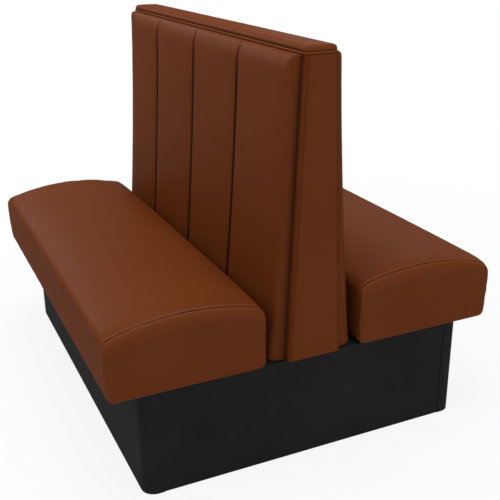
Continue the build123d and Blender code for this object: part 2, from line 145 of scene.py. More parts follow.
@dataclass(frozen=True)
class Unevenness:
    """Slow, smooth unevenness of a skin, the same on every run. The seed shifts its pattern."""

    height: float
    length: float
    seed: float

    def at(self, points: np.ndarray) -> np.ndarray:
        """The unevenness at some places.

        Args:
            points: Places in millimetres, shape (..., 3).

        Returns:
            A rise or a fall for each place, up to about the height.
        """
        turns = ((1.0, 0.3, 0.5), (-0.6, 1.0, 0.2), (0.4, -0.7, 1.0), (0.9, 0.8, -0.6))
        quicken, shift, fade, highest = 0.37, 1.7, 0.5, 2.4
        total = np.zeros(points.shape[:-1])
        for index, turn in enumerate(turns):
            phase = points @ np.array(turn) * (2 * math.pi / self.length) * (1 + quicken * index)
            total += np.sin(phase + self.seed * (shift + index)) / (1 + fade * index)
        return self.height * (total / highest)


def trace(corners: Sequence[tuple], rises: Sequence[float], counts: Sequence[int]) -> np.ndarray:
    """Points along a closed outline whose sides are lines or arcs that rise outwards.

    Args:
        corners: The outline's corners, anticlockwise.
        rises: Each side's rise over its chord, 0 for a line.
        counts: How many points each side gets, its start counted.

    Returns:
        The points, shape (sum of counts, 2).
    """
    points = []
    for index, (rise, count) in enumerate(zip(rises, counts)):
        start = np.array(corners[index])
        end = np.array(corners[(index + 1) % len(corners)])
        along = end - start
        chord = float(np.hypot(*along))
        along = along / chord
        out = np.array((along[1], -along[0]))
        share = np.arange(count) / count
        if not rise:
            points.append(start + np.outer(share * chord, along))
            continue
        radius = (chord * chord / 4 + rise * rise) / (2 * rise)
        turn = (2 * share - 1) * math.asin(min(1.0, chord / (2 * radius)))
        run = chord / 2 + radius * np.sin(turn)
        height = radius * np.cos(turn) - (radius - rise)
        points.append(start + np.outer(run, along) + np.outer(height, out))
    return np.vstack(points)


def outwards(ring: np.ndarray) -> np.ndarray:
    """The outward directions of an anticlockwise closed outline.

    Args:
        ring: The outline's points, shape (n, 2).

    Returns:
        A direction of length 1 for each point, in the same shape.
    """
    along = np.roll(ring, -1, axis=0) - np.roll(ring, 1, axis=0)
    along /= np.linalg.norm(along, axis=1)[:, None]
    return np.stack((along[:, 1], -along[:, 0]), axis=1)


def patch(ring: np.ndarray, first: int, across: int, up: int) -> np.ndarray:
    """Fills a ring of points with a grid that meets it on all four sides.

    Args:
        ring: The ring's points, shape (2 * (across + up), 3).
        first: Index of the ring's point at the grid's first corner.
        across: Number of cells along the first and third sides.
        up: Number of cells along the second and fourth sides.

    Returns:
        Points, shape (up + 1, across + 1, 3), whose borders are the ring's own points.
    """
    ring = np.roll(ring, -first, axis=0)
    low = ring[: across + 1]
    right = ring[across : across + up + 1]
    high = ring[across + up : 2 * across + up + 1][::-1]
    left = np.vstack((ring[2 * across + up :], ring[:1]))[::-1]
    u = np.linspace(0, 1, across + 1)[None, :, None]
    v = np.linspace(0, 1, up + 1)[:, None, None]
    ruled = (1 - v) * low[None] + v * high[None] + (1 - u) * left[:, None] + u * right[:, None]
    corners = (1 - u) * (1 - v) * low[0] + u * (1 - v) * low[-1] + (1 - u) * v * high[0] + u * v * high[-1]
    return ruled - corners


# Meshes


class Skin:
    """Gathers points and faces in millimetres and turns them into one object.

    A point's mark says how near a seam it is: 1 in the seam, below 0 on the ridge beside it. The vinyl paints
    shade where the mark is above 0 and a highlight where it is below 0.
    """

    def __init__(self) -> None:
        """Starts an empty skin."""
        self.points: list[np.ndarray] = []
        self.faces: list[tuple] = []
        self.marks: list[np.ndarray] = []
        self.count = 0

    def add(self, points: np.ndarray, mark: np.ndarray | float = 0.0) -> np.ndarray:
        """Adds points.

        Args:
            points: Places in millimetres, shape (..., 3).
            mark: How near a seam each point is.

        Returns:
            Their indices, in the same shape without the last axis.
        """
        shape = points.shape[:-1]
        number = int(np.prod(shape))
        self.points.append(points.reshape(-1, 3))
        self.marks.append(np.broadcast_to(mark, shape).reshape(-1).astype(float))
        indices = np.arange(self.count, self.count + number).reshape(shape)
        self.count += number
        return indices

    def bridge(self, first: np.ndarray, second: np.ndarray, closed: bool) -> None:
        """Adds faces between two rows of the same number of points.

        Args:
            first: The first row's indices.
            second: The second row's indices.
            closed: The rows are rings.
        """
        number = len(first)
        for index in range(number if closed else number - 1):
            after = (index + 1) % number
            self.faces.append((first[index], first[after], second[after], second[index]))

    def grid(self, rows: np.ndarray, closed: bool) -> None:
        """Adds faces over rows of indices."""
        for low, high in zip(rows[:-1], rows[1:]):
            self.bridge(low, high, closed)

    def fill(self, ring: np.ndarray, inner: np.ndarray, first: int) -> None:
        """Adds the faces of a patch whose border is a ring's own points.

        Args:
            ring: The ring's indices.
            inner: The patch as patch() gives it.
            first: Index in the ring of the patch's first corner.
        """
        up, across = inner.shape[0] - 1, inner.shape[1] - 1
        rows = np.zeros((up + 1, across + 1), int)
        rows[1:-1, 1:-1] = self.add(inner[1:-1, 1:-1])
        ring = np.roll(ring, -first)
        rows[0] = ring[: across + 1]
        rows[:, -1] = ring[across : across + up + 1]
        rows[-1] = ring[across + up : 2 * across + up + 1][::-1]
        rows[:, 0] = np.append(ring[2 * across + up :], ring[0])[::-1]
        self.grid(rows, closed=False)

    def sheet(self, outer: np.ndarray, inner: np.ndarray, mark: np.ndarray | float = 0.0) -> np.ndarray:
        """Adds a closed thick sheet from its outer and inner grids.

        Args:
            outer: Places, shape (rows, columns, 3).
            inner: The other side's places, in the same shape.
            mark: How near a seam each outer point is.

        Returns:
            The outer grid's indices.
        """
        front = self.add(outer, mark)
        back = self.add(inner)
        self.grid(front, closed=False)
        self.grid(back[::-1], closed=False)
        self.bridge(back[0], front[0], closed=False)
        self.bridge(front[-1], back[-1], closed=False)
        self.bridge(front[:, 0], back[:, 0], closed=False)
        self.bridge(back[:, -1], front[:, -1], closed=False)
        return front

    def build(self, name: str, flip: bool = False) -> bpy.types.Object:
        """Makes the object, in metres, with its faces turned outwards.

        Args:
            name: The piece's name.
            flip: Mirrors it to the other side of the booth.

        Returns:
            The new object, linked to the scene.
        """
        points = np.vstack(self.points) * MM
        if flip:
            points[:, 0] *= -1
        mesh = bpy.data.meshes.new(name)
        mesh.from_pydata(points.tolist(), [], [tuple(int(i) for i in face) for face in self.faces])
        shaped = bmesh.new()
        shaped.from_mesh(mesh)
        bmesh.ops.recalc_face_normals(shaped, faces=shaped.faces)
        shaped.to_mesh(mesh)
        shaped.free()
        mesh.polygons.foreach_set("use_smooth", [True] * len(mesh.polygons))
        seam = mesh.attributes.new("seam", "FLOAT", "POINT")
        seam.data.foreach_set("value", np.concatenate(self.marks))
        piece = bpy.data.objects.new(name, mesh)
        bpy.context.scene.collection.objects.link(piece)
        return piece


def subdivide(piece: bpy.types.Object, levels: int = 1) -> None:
    """Rounds a piece off with a subdivision surface.

    Args:
        piece: The piece.
        levels: How many times its faces are divided.
    """
    rounded = piece.modifiers.new("rounding", "SUBSURF")
    rounded.levels = levels
    rounded.render_levels = levels


# Shading


class Graph:
    """A node tree that is written a node at a time."""

    def __init__(self, tree: bpy.types.NodeTree) -> None:
        """Takes an empty tree."""
        self.tree = tree

    def node(self, kind: str, **settings: object) -> bpy.types.Node:
        """Adds a node and sets its properties.

        Args:
            kind: Blender's name of the node.
            settings: Its properties.

        Returns:
            The new node.
        """
        made = self.tree.nodes.new(kind)
        for key, value in settings.items():
            setattr(made, key, value)
        return made

    def link(self, source: bpy.types.NodeSocket, target: bpy.types.NodeSocket) -> None:
        """Joins two sockets."""
        self.tree.links.new(source, target)

    def feed(self, target: bpy.types.NodeSocket, value: object) -> None:
        """Sets a socket, or joins another to it.

        Args:
            target: The socket.
            value: A number or a colour for it, or the socket to join to it.
        """
        if isinstance(value, bpy.types.NodeSocket):
            self.link(value, target)
        else:
            target.default_value = value

    def math(self, action: str, first: object, second: object = 0.0) -> bpy.types.NodeSocket:
        """One sum.

        Args:
            action: Blender's name of it.
            first: A socket or a number.
            second: A socket or a number.

        Returns:
            The result's socket.
        """
        made = self.node("ShaderNodeMath", operation=action)
        self.feed(made.inputs[0], first)
        self.feed(made.inputs[1], second)
        return made.outputs[0]

    def span(
        self, value: object, low: float, high: float, out_low: float, out_high: float
    ) -> bpy.types.NodeSocket:
        """Maps a value from one range to another, held at its ends.

        Args:
            value: A socket or a number.
            low: Start of the first range.
            high: End of the first range.
            out_low: Start of the second range.
            out_high: End of the second range.

        Returns:
            The result's socket.
        """
        made = self.node("ShaderNodeMapRange")
        for index, number in enumerate((value, low, high, out_low, out_high)):
            self.feed(made.inputs[index], number)
        return made.outputs[0]

    def mix(self, share: object, first: object, second: object) -> bpy.types.NodeSocket:
        """Mixes two colours.

        Args:
            share: How much of the second there is.
            first: A socket or a colour.
            second: A socket or a colour.

        Returns:
            The mixed colour's socket.
        """
        factor, first_colour, second_colour, mixed_colour = 0, 6, 7, 2
        made = self.node("ShaderNodeMix", data_type="RGBA")
        self.feed(made.inputs[factor], share)
        self.feed(made.inputs[first_colour], first)
        self.feed(made.inputs[second_colour], second)
        return made.outputs[mixed_colour]

    def noise(self, place: bpy.types.NodeSocket, scale: object, detail: float) -> bpy.types.NodeSocket:
        """Cloudy noise.

        Args:
            place: Coordinates that it follows.
            scale: A socket or a number: how small the clouds are.
            detail: How many finer layers it has.

        Returns:
            The noise's socket, from about 0 to 1.
        """
        made = self.node("ShaderNodeTexNoise")
        self.link(place, made.inputs["Vector"])
        self.feed(made.inputs["Scale"], scale)
        made.inputs["Detail"].default_value = detail
        return made.outputs[0]

    def place(self, stretch: tuple[float, float, float] = (1, 1, 1)) -> bpy.types.NodeSocket:
        """The object's own coordinates in metres.

        Args:
            stretch: How much closer a pattern's details lie along each axis.

        Returns:
            The coordinates' socket.
        """
        source = self.node("ShaderNodeTexCoord").outputs["Object"]
        if stretch == (1, 1, 1):
            return source
        turned = self.node("ShaderNodeMapping")
        self.link(source, turned.inputs["Vector"])
        turned.inputs["Scale"].default_value = stretch
        return turned.outputs[0]


class EffectGroup:
    """A shader effect that several finishes use, kept as one node group."""

    def __init__(self, name: str, inputs: Iterable[tuple[str, float]], outputs: Iterable[str]) -> None:
        """Makes the group's sockets.

        Args:
            name: The effect's name.
            inputs: Name and usual value of each input.
            outputs: Names of the outputs.
        """
        self.tree = bpy.data.node_groups.new(name, "ShaderNodeTree")
        self.tree.interface.new_socket("Place", in_out="INPUT", socket_type="NodeSocketVector")
        for label, value in inputs:
            socket = self.tree.interface.new_socket(label, in_out="INPUT", socket_type="NodeSocketFloat")
            socket.default_value = value
        for label in outputs:
            self.tree.interface.new_socket(label, in_out="OUTPUT", socket_type="NodeSocketFloat")
        self.graph = Graph(self.tree)
        self.source = self.graph.node("NodeGroupInput")
        self.target = self.graph.node("NodeGroupOutput")

    def put(self, graph: Graph, place: bpy.types.NodeSocket, **values: float) -> bpy.types.Node:
        """Places the effect in a material.

        Args:
            graph: The material's graph.
            place: Coordinates that it follows.
            values: Its inputs, with underscores for spaces.

        Returns:
            The group's node.
        """
        made = graph.node("ShaderNodeGroup", node_tree=self.tree)
        graph.link(place, made.inputs["Place"])
        for label, value in values.items():
            made.inputs[label.replace("_", " ").capitalize()].default_value = value
        return made


class Effects:
    """The effects, each built once."""

    def __init__(self) -> None:
        """Builds them all."""
        self.grain = self._grain()
        self.drift = self._drift()
        self.scuff = self._scuff()
        self.timber = self._timber()

    @staticmethod
    def _grain() -> EffectGroup:
        """Embossed grain of a skin: pebbles with creases between them.

        Returns:
            The effect, which gives Height, and Crease, which is 0 in a crease.
        """
        made = EffectGroup("embossed_grain", (("Scale", 700.0), ("Fine scale", 2600.0)), ("Height", "Crease"))
        graph, source, target = made.graph, made.source, made.target
        wander_scale, wander_reach, crease_width = 380.0, 0.0011, 0.22
        pebble_height, fine_height, fine_detail = 0.75, 0.35, 2.0
        cells = graph.node("ShaderNodeTexVoronoi", feature="DISTANCE_TO_EDGE")
        bend = graph.node("ShaderNodeVectorMath", operation="MULTIPLY_ADD")
        wander = graph.node("ShaderNodeTexNoise")
        graph.link(source.outputs["Place"], wander.inputs["Vector"])
        wander.inputs["Scale"].default_value = wander_scale
        graph.link(wander.outputs["Color"], bend.inputs[0])
        bend.inputs[1].default_value = (wander_reach,) * 3
        graph.link(source.outputs["Place"], bend.inputs[2])
        graph.link(bend.outputs[0], cells.inputs["Vector"])
        graph.link(source.outputs["Scale"], cells.inputs["Scale"])
        crease = graph.span(cells.outputs["Distance"], 0.0, crease_width, 0.0, 1.0)
        fine = graph.noise(source.outputs["Place"], source.outputs["Fine scale"], fine_detail)
        pebbles = graph.math("MULTIPLY", crease, pebble_height)
        height = graph.math("ADD", pebbles, graph.math("MULTIPLY", fine, fine_height))
        graph.link(height, target.inputs["Height"])
        graph.link(crease, target.inputs["Crease"])
        return made

    @staticmethod
    def _drift() -> EffectGroup:
        """Slow unevenness of a colour or a gloss.

        Returns:
            The effect, which gives Mask, from about 0 to 1.
        """
        made = EffectGroup("slow_drift", (("Scale", 4.0), ("Contrast", 0.5)), ("Mask",))
        graph, source, target = made.graph, made.source, made.target
        middle, detail = 0.5, 3.0
        cloud = graph.noise(source.outputs["Place"], source.outputs["Scale"], detail)
        spread = graph.math("MULTIPLY", graph.math("SUBTRACT", cloud, middle), source.outputs["Contrast"])
        graph.link(graph.math("ADD", spread, middle), target.inputs["Mask"])
        return made

    @staticmethod
    def _scuff() -> EffectGroup:
        """Fine scuffs and specks of a hard sheet.

        Returns:
            The effect, which gives Mask, which is 0 where there are none.
        """
        made = EffectGroup("fine_scuffs", (("Scale", 60.0), ("Amount", 0.5)), ("Mask",))
        graph, source, target = made.graph, made.source, made.target
        stretch, mark_detail, mark_span = (1.0, 1.0, 9.0), 5.0, (0.5, 0.75)
        speck_scale, speck_detail, speck_span, speck_floor = 900.0, 1.0, (0.4, 0.7), 0.3
        long_marks = graph.node("ShaderNodeMapping")
        graph.link(source.outputs["Place"], long_marks.inputs["Vector"])
        long_marks.inputs["Scale"].default_value = stretch
        marks = graph.noise(long_marks.outputs[0], source.outputs["Scale"], mark_detail)
        specks = graph.noise(source.outputs["Place"], speck_scale, speck_detail)
        marks = graph.span(marks, *mark_span, 0, 1)
        specks = graph.span(specks, *speck_span, speck_floor, 1)
        both = graph.math("MULTIPLY", marks, specks)
        graph.link(graph.math("MULTIPLY", both, source.outputs["Amount"]), target.inputs["Mask"])
        return made

    @staticmethod
    def _timber() -> EffectGroup:
        """Growth lines of wood that runs along one axis.

        Returns:
            The effect, which gives Mask of the lines, and Pores, which is 0 in a pore.
        """
        made = EffectGroup("growth_lines", (("Scale", 60.0), ("Wander", 3.0)), ("Mask", "Pores"))
        graph, source, target = made.graph, made.source, made.target
        ring_detail, pore_scale, pore_detail, pore_span = 3.0, 240.0, 4.0, (0.35, 0.6)
        rings = graph.node("ShaderNodeTexWave", wave_type="BANDS", bands_direction="Z")
        graph.link(source.outputs["Place"], rings.inputs["Vector"])
        graph.link(source.outputs["Scale"], rings.inputs["Scale"])
        graph.link(source.outputs["Wander"], rings.inputs["Distortion"])
        rings.inputs["Detail"].default_value = ring_detail
        pores = graph.noise(source.outputs["Place"], pore_scale, pore_detail)
        graph.link(rings.outputs["Fac"], target.inputs["Mask"])
        graph.link(graph.span(pores, *pore_span, 0, 1), target.inputs["Pores"])
        return made


def tone(red: float, green: float, blue: float) -> Colour:
    """A linear colour with full cover."""
    return (red, green, blue, 1.0)


@dataclass(frozen=True)
class Finish:
    """What every finish has: its name, its gloss and its relief.

    drift_span is the part of the slow drift's mask over which the gloss changes.
    """

    name: str
    roughness: float
    specular: float = 0.5
    coat: float = 0.0
    relief: float = 0.2
    relief_depth: float = 0.0002
    drift_span: tuple[float, float] = (0.2, 0.8)

    def start(self) -> tuple[bpy.types.Material, Graph, bpy.types.Node]:
        """A new material with its shader and output joined.

        Returns:
            The material, its graph and its Principled node.
        """
        material = bpy.data.materials.new(self.name)
        material.use_nodes = True
        material.node_tree.nodes.clear()
        graph = Graph(material.node_tree)
        shader = graph.node("ShaderNodeBsdfPrincipled")
        output = graph.node("ShaderNodeOutputMaterial")
        graph.link(shader.outputs[0], output.inputs["Surface"])
        shader.inputs["Roughness"].default_value = self.roughness
        shader.inputs["Specular IOR Level"].default_value = self.specular
        shader.inputs["Coat Weight"].default_value = self.coat
        shader.inputs["Coat Roughness"].default_value = self.roughness
        return material, graph, shader

    def emboss(self, graph: Graph, shader: bpy.types.Node, height: bpy.types.NodeSocket) -> None:
        """Puts a relief on the shader.

        Args:
            graph: The material's graph.
            shader: Its Principled node.
            height: The relief's height, 0 to 1.
        """
        bump = graph.node("ShaderNodeBump")
        bump.inputs["Strength"].default_value = self.relief
        bump.inputs["Distance"].default_value = self.relief_depth
        graph.link(height, bump.inputs["Height"])
        graph.link(bump.outputs[0], shader.inputs["Normal"])


@dataclass(frozen=True)
class VinylFinish(Finish):
    """Chestnut upholstery vinyl with an embossed grain, and shade and highlights painted along its seams."""

    colour: Colour = tone(0.132, 0.0325, 0.0073)
    deep: Colour = tone(0.111, 0.0255, 0.0055)
    # seam_shade is shade painted into seams, grooves and folds; the ridge colour is a highlight painted on
    # the ridges beside seams and on the welt
    seam_shade: Colour = tone(0.012, 0.0035, 0.0016)
    ridge_highlight: Colour = tone(0.17, 0.055, 0.017)
    seam_cover: float = 0.9
    ridge_highlight_cover: float = 0.55
    crease_cover: float = 0.18
    crease_gloss: float = 0.35
    gloss_swing: float = 0.04
    coat_roughness: float = 0.44

    def make(self, effects: Effects) -> bpy.types.Material:
        """Builds the material.

        Args:
            effects: The shared effects.

        Returns:
            The material.
        """
        material, graph, shader = self.start()
        place = graph.place()
        grain = effects.grain.put(graph, place, scale=820.0, fine_scale=2900.0)
        drift = effects.drift.put(graph, place, scale=3.5, contrast=1.1)
        colour = graph.mix(drift.outputs["Mask"], self.deep, self.colour)
        creased = graph.span(grain.outputs["Crease"], 0.0, 1.0, self.crease_cover, 0.0)
        colour = graph.mix(creased, colour, self.deep)
        seam = graph.node("ShaderNodeAttribute", attribute_name="seam").outputs["Fac"]
        # The seam mark paints a highlight where it is below 0 and shade where it is above 0
        colour = graph.mix(graph.span(seam, 0.0, -1.0, 0.0, self.ridge_highlight_cover), colour, self.ridge_highlight)
        colour = graph.mix(graph.span(seam, 0.0, 1.0, 0.0, self.seam_cover), colour, self.seam_shade)
        graph.link(colour, shader.inputs["Base Color"])
        dullest, glossiest = self.roughness + self.gloss_swing, self.roughness - self.gloss_swing
        gloss = graph.span(drift.outputs["Mask"], *self.drift_span, dullest, glossiest)
        gloss = graph.math("ADD", gloss, graph.math("MULTIPLY", creased, self.crease_gloss))
        graph.link(gloss, shader.inputs["Roughness"])
        shader.inputs["Coat Roughness"].default_value = self.coat_roughness
        self.emboss(graph, shader, grain.outputs["Height"])
        return material


@dataclass(frozen=True)
class LaminateFinish(Finish):
    """Matte black sheet with fine scuffs."""

    colour: Colour = tone(0.007, 0.007, 0.0073)
    scuffed: Colour = tone(0.02, 0.02, 0.021)
    worn_edge: tuple[float, float] = (0.53, 0.6)
    wear: float = 0.6
    gloss_swing: float = 0.06

    def make(self, effects: Effects) -> bpy.types.Material:
        """Builds the material.

        Args:
            effects: The shared effects.

        Returns:
            The material.
        """
        material, graph, shader = self.start()
        place = graph.place()
        scuff = effects.scuff.put(graph, place, scale=26.0, amount=0.5)
        drift = effects.drift.put(graph, place, scale=5.0, contrast=1.2)
        colour = graph.mix(scuff.outputs["Mask"], self.colour, self.scuffed)
        edge = graph.node("ShaderNodeNewGeometry").outputs["Pointiness"]
        edge = graph.span(edge, *self.worn_edge, 0.0, self.wear)
        worn = graph.math("MULTIPLY", edge, drift.outputs["Mask"])
        colour = graph.mix(worn, colour, self.scuffed)
        graph.link(colour, shader.inputs["Base Color"])
        dullest, glossiest = self.roughness + self.gloss_swing, self.roughness - self.gloss_swing
        gloss = graph.span(drift.outputs["Mask"], *self.drift_span, dullest, glossiest)
        graph.link(gloss, shader.inputs["Roughness"])
        grain = effects.grain.put(graph, place, scale=1500.0, fine_scale=4000.0)
        self.emboss(graph, shader, grain.outputs["Height"])
        return material


@dataclass(frozen=True)
class WoodFinish(Finish):
    """Plywood or softwood whose grain runs along one axis."""

    light: Colour = tone(0.62, 0.44, 0.26)
    dark: Colour = tone(0.42, 0.26, 0.13)
    stretch: tuple[float, float, float] = (1.0, 0.12, 1.0)
    rings: float = 34.0
    drift_cover: float = 0.4
    pore_dullness: float = 0.12

    def make(self, effects: Effects) -> bpy.types.Material:
        """Builds the material.

        Args:
            effects: The shared effects.

        Returns:
            The material.
        """
        material, graph, shader = self.start()
        place = graph.place(self.stretch)
        timber = effects.timber.put(graph, place, scale=self.rings, wander=4.0)
        drift = effects.drift.put(graph, graph.place(), scale=6.0, contrast=1.0)
        colour = graph.mix(timber.outputs["Mask"], self.light, self.dark)
        darker = graph.math("MULTIPLY", drift.outputs["Mask"], self.drift_cover)
        colour = graph.mix(darker, colour, self.dark)
        graph.link(colour, shader.inputs["Base Color"])
        dullest = self.roughness + self.pore_dullness
        gloss = graph.span(timber.outputs["Pores"], 0, 1, dullest, self.roughness)
        graph.link(gloss, shader.inputs["Roughness"])
        self.emboss(graph, shader, timber.outputs["Pores"])
        return material


@dataclass(frozen=True)
class ClothFinish(Finish):
    """Thin black cambric under the seats, with an even weave."""

    colour: Colour = tone(0.02, 0.02, 0.022)
    thread: Colour = tone(0.045, 0.045, 0.048)
    threads: float = 900.0

    def make(self, effects: Effects) -> bpy.types.Material:
        """Builds the material.

        Args:
            effects: The shared effects.

        Returns:
            The material.
        """
        material, graph, shader = self.start()
        place = graph.place()
        heights = []
        for direction in ("X", "Y"):
            wave = graph.node("ShaderNodeTexWave", bands_direction=direction)
            graph.link(place, wave.inputs["Vector"])
            wave.inputs["Scale"].default_value = self.threads / 2
            heights.append(wave.outputs["Fac"])
        weave = graph.math("MULTIPLY", heights[0], heights[1])
        drift = effects.drift.put(graph, place, scale=9.0, contrast=1.0)
        colour = graph.mix(graph.math("MULTIPLY", weave, drift.outputs["Mask"]), self.colour, self.thread)
        graph.link(colour, shader.inputs["Base Color"])
        self.emboss(graph, shader, weave)
        return material


@dataclass(frozen=True)
class FoamFinish(Finish):
    """Open-cell upholstery foam."""

    colour: Colour = tone(0.78, 0.68, 0.42)
    aged: Colour = tone(0.66, 0.5, 0.24)

    def make(self, effects: Effects) -> bpy.types.Material:
        """Builds the material.

        Args:
            effects: The shared effects.

        Returns:
            The material.
        """
        material, graph, shader = self.start()
        place = graph.place()
        grain = effects.grain.put(graph, place, scale=420.0, fine_scale=1800.0)
        drift = effects.drift.put(graph, place, scale=7.0, contrast=1.2)
        graph.link(graph.mix(drift.outputs["Mask"], self.colour, self.aged), shader.inputs["Base Color"])
        self.emboss(graph, shader, grain.outputs["Height"])
        return material


@dataclass(frozen=True)
class SteelFinish(Finish):
    """Zinc-plated steel with cloudy spangle."""

    colour: Colour = tone(0.58, 0.58, 0.56)
    dull: Colour = tone(0.4, 0.41, 0.4)
    shine: float = 0.08
    dullness: float = 0.1

    def make(self, effects: Effects) -> bpy.types.Material:
        """Builds the material.

        Args:
            effects: The shared effects.

        Returns:
            The material.
        """
        material, graph, shader = self.start()
        place = graph.place()
        shader.inputs["Metallic"].default_value = 1.0
        drift = effects.drift.put(graph, place, scale=60.0, contrast=1.5)
        graph.link(graph.mix(drift.outputs["Mask"], self.colour, self.dull), shader.inputs["Base Color"])
        glossiest, dullest = self.roughness - self.shine, self.roughness + self.dullness
        gloss = graph.span(drift.outputs["Mask"], *self.drift_span, glossiest, dullest)
        graph.link(gloss, shader.inputs["Roughness"])
        scuff = effects.scuff.put(graph, place, scale=300.0, amount=0.8)
        self.emboss(graph, shader, scuff.outputs["Mask"])
        return material


@dataclass(frozen=True)
class ThreadFinish(Finish):
    """Bonded sewing thread, a shade off the vinyl."""

    colour: Colour = tone(0.1, 0.03, 0.01)
    worn: Colour = tone(0.15, 0.055, 0.022)
    twist_scale: float = 3200.0
    twist_detail: float = 1.0

    def make(self, effects: Effects) -> bpy.types.Material:
        """Builds the material.

        Args:
            effects: The shared effects.

        Returns:
            The material.
        """
        material, graph, shader = self.start()
        place = graph.place()
        drift = effects.drift.put(graph, place, scale=40.0, contrast=1.4)
        graph.link(graph.mix(drift.outputs["Mask"], self.colour, self.worn), shader.inputs["Base Color"])
        self.emboss(graph, shader, graph.noise(place, self.twist_scale, self.twist_detail))
        return material


class Wardrobe:
    """Every material, by slot."""

    def __init__(self) -> None:
        """Builds the effects and the finishes."""
        effects = Effects()
        vinyl = VinylFinish(
            "chestnut_vinyl",
            roughness=0.42,
            specular=0.0,
            coat=0.085,
            relief=0.2,
            relief_depth=0.00016,
        )
        black_ply = WoodFinish(
            "black_plywood",
            roughness=0.6,
            specular=0.12,
            relief=0.3,
            light=tone(0.008, 0.008, 0.0085),
            dark=tone(0.004, 0.004, 0.004),
        )
        ply = WoodFinish("plywood", roughness=0.55, relief=0.25, stretch=(1.0, 0.1, 1.0), rings=22.0)
        softwood = WoodFinish(
            "softwood",
            roughness=0.62,
            relief=0.3,
            light=tone(0.68, 0.5, 0.3),
            dark=tone(0.48, 0.3, 0.15),
            rings=60.0,
        )
        laminate = LaminateFinish("black_laminate", roughness=0.5, specular=0.0, coat=0.12, relief=0.1)
        finishes = {
            Slot.VINYL: vinyl,
            Slot.LAMINATE: laminate,
            Slot.BLACK_PLY: black_ply,
            Slot.CAMBRIC: ClothFinish("black_cambric", roughness=0.9, specular=0.2, relief=0.5),
            Slot.FOAM: FoamFinish("foam", roughness=0.95, specular=0.2, relief=0.6),
            Slot.PLYWOOD: ply,
            Slot.SOFTWOOD: softwood,
            Slot.STEEL: SteelFinish("zinc_steel", roughness=0.36, relief=0.1),
        }
        self.materials = {slot: finish.make(effects) for slot, finish in finishes.items()}
        self.thread = ThreadFinish("bonded_thread", roughness=0.55, relief=0.4).make(effects)

    def dress(
        self, piece: bpy.types.Object, slot: Slot, material: bpy.types.Material | None = None
    ) -> None:
        """Gives a new piece its material, the slot's own unless another is given.
            slot: The record's slot that it takes its finish from.
            material: What it wears, where that isn't the slot's own material.
        """
        piece.data.materials.clear()
        piece.data.materials.append(material or self.materials[slot])

    def dress_nodes(self) -> None:
        """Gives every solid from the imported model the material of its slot."""
        wanted = {part["node"]: Slot(part["material_slot"]) for part in frame["record"]["subparts"]}
        for name, node in frame["nodes"].items():
            for holder in node.material_slots:
                holder.material = self.materials[wanted[name]]
        log.info("dressed %d nodes", len(frame["nodes"]))


# Sewing


def places_of(mesh: bpy.types.Mesh) -> np.ndarray:
    """Where a mesh's points are.

    Args:
        mesh: The mesh.

    Returns:
        The places in metres, shape (n, 3).
    """
    places = np.empty(len(mesh.vertices) * 3)
    mesh.vertices.foreach_get("co", places)
    return places.reshape(-1, 3)


def move_points(mesh: bpy.types.Mesh, places: np.ndarray) -> None:
    """Moves a mesh's points to new places in metres."""
    mesh.vertices.foreach_set("co", places.reshape(-1))
    mesh.update()


@dataclass
class ClothRest:
    """Lets skins of one kind settle as cloth that is held at its seams, over a padding that pushes out."""

    ease: float
    push: float
    limit: float
    frames: int = 12
    quality: int = 6
    mass: float = 0.3
    damping: float = 5.0
    stiffness: float = 30.0
    bending: float = 2.0
    least: float = 1e-9
    found: np.ndarray | None = None

    def settle(self, piece: bpy.types.Object, held: np.ndarray, side: Side) -> None:
        """Runs the cloth for the first piece and moves each one by what that run found.

        Args:
            piece: The skin, before it is subdivided.
            held: How firmly each point is held, 0 to 1.
            side: Which half of the booth it is on.
        """
        rest = places_of(piece.data)
        mirror = np.array((float(side.value), 1.0, 1.0))
        if self.found is None:
            moved = self.run(piece, held) - rest
            length = np.linalg.norm(moved, axis=1)[:, None] + self.least
            limit = self.limit * MM
            moved *= limit * np.tanh(length / limit) / length
            log.info("cloth moved %s by up to %.1f mm", piece.name, float(length.max()) / MM)
            self.found = moved * mirror
        move_points(piece.data, rest + self.found * mirror)

    def run(self, piece: bpy.types.Object, held: np.ndarray) -> np.ndarray:
        """Runs the cloth.

        Args:
            piece: The skin.
            held: How firmly each point is held, 0 to 1.

        Returns:
            Where its points come to rest, in metres.
        """
        group = piece.vertex_groups.new(name="held")
        for level in np.unique(held):
            group.add(np.flatnonzero(held == level).tolist(), float(level), "REPLACE")
        cloth = piece.modifiers.new("cloth", "CLOTH")
        settings = cloth.settings
        settings.quality = self.quality
        settings.mass = self.mass
        settings.tension_stiffness = self.stiffness
        settings.compression_stiffness = self.stiffness
        settings.shear_stiffness = self.stiffness / 2
        settings.bending_stiffness = self.bending
        settings.air_damping = self.damping
        settings.vertex_group_mass = group.name
        settings.shrink_min = -self.ease
        settings.use_pressure = True
        settings.uniform_pressure_force = self.push
        settings.effector_weights.gravity = 0.0
        cloth.collision_settings.use_collision = False
        cloth.point_cache.frame_start = 1
        cloth.point_cache.frame_end = self.frames
        scene = bpy.context.scene
        for frame_number in range(1, self.frames + 1):
            scene.frame_set(frame_number)
        shown = piece.evaluated_get(bpy.context.evaluated_depsgraph_get())
        places = places_of(shown.to_mesh())
        shown.to_mesh_clear()
        piece.modifiers.remove(cloth)
        piece.vertex_groups.remove(group)
        scene.frame_set(1)
        return places


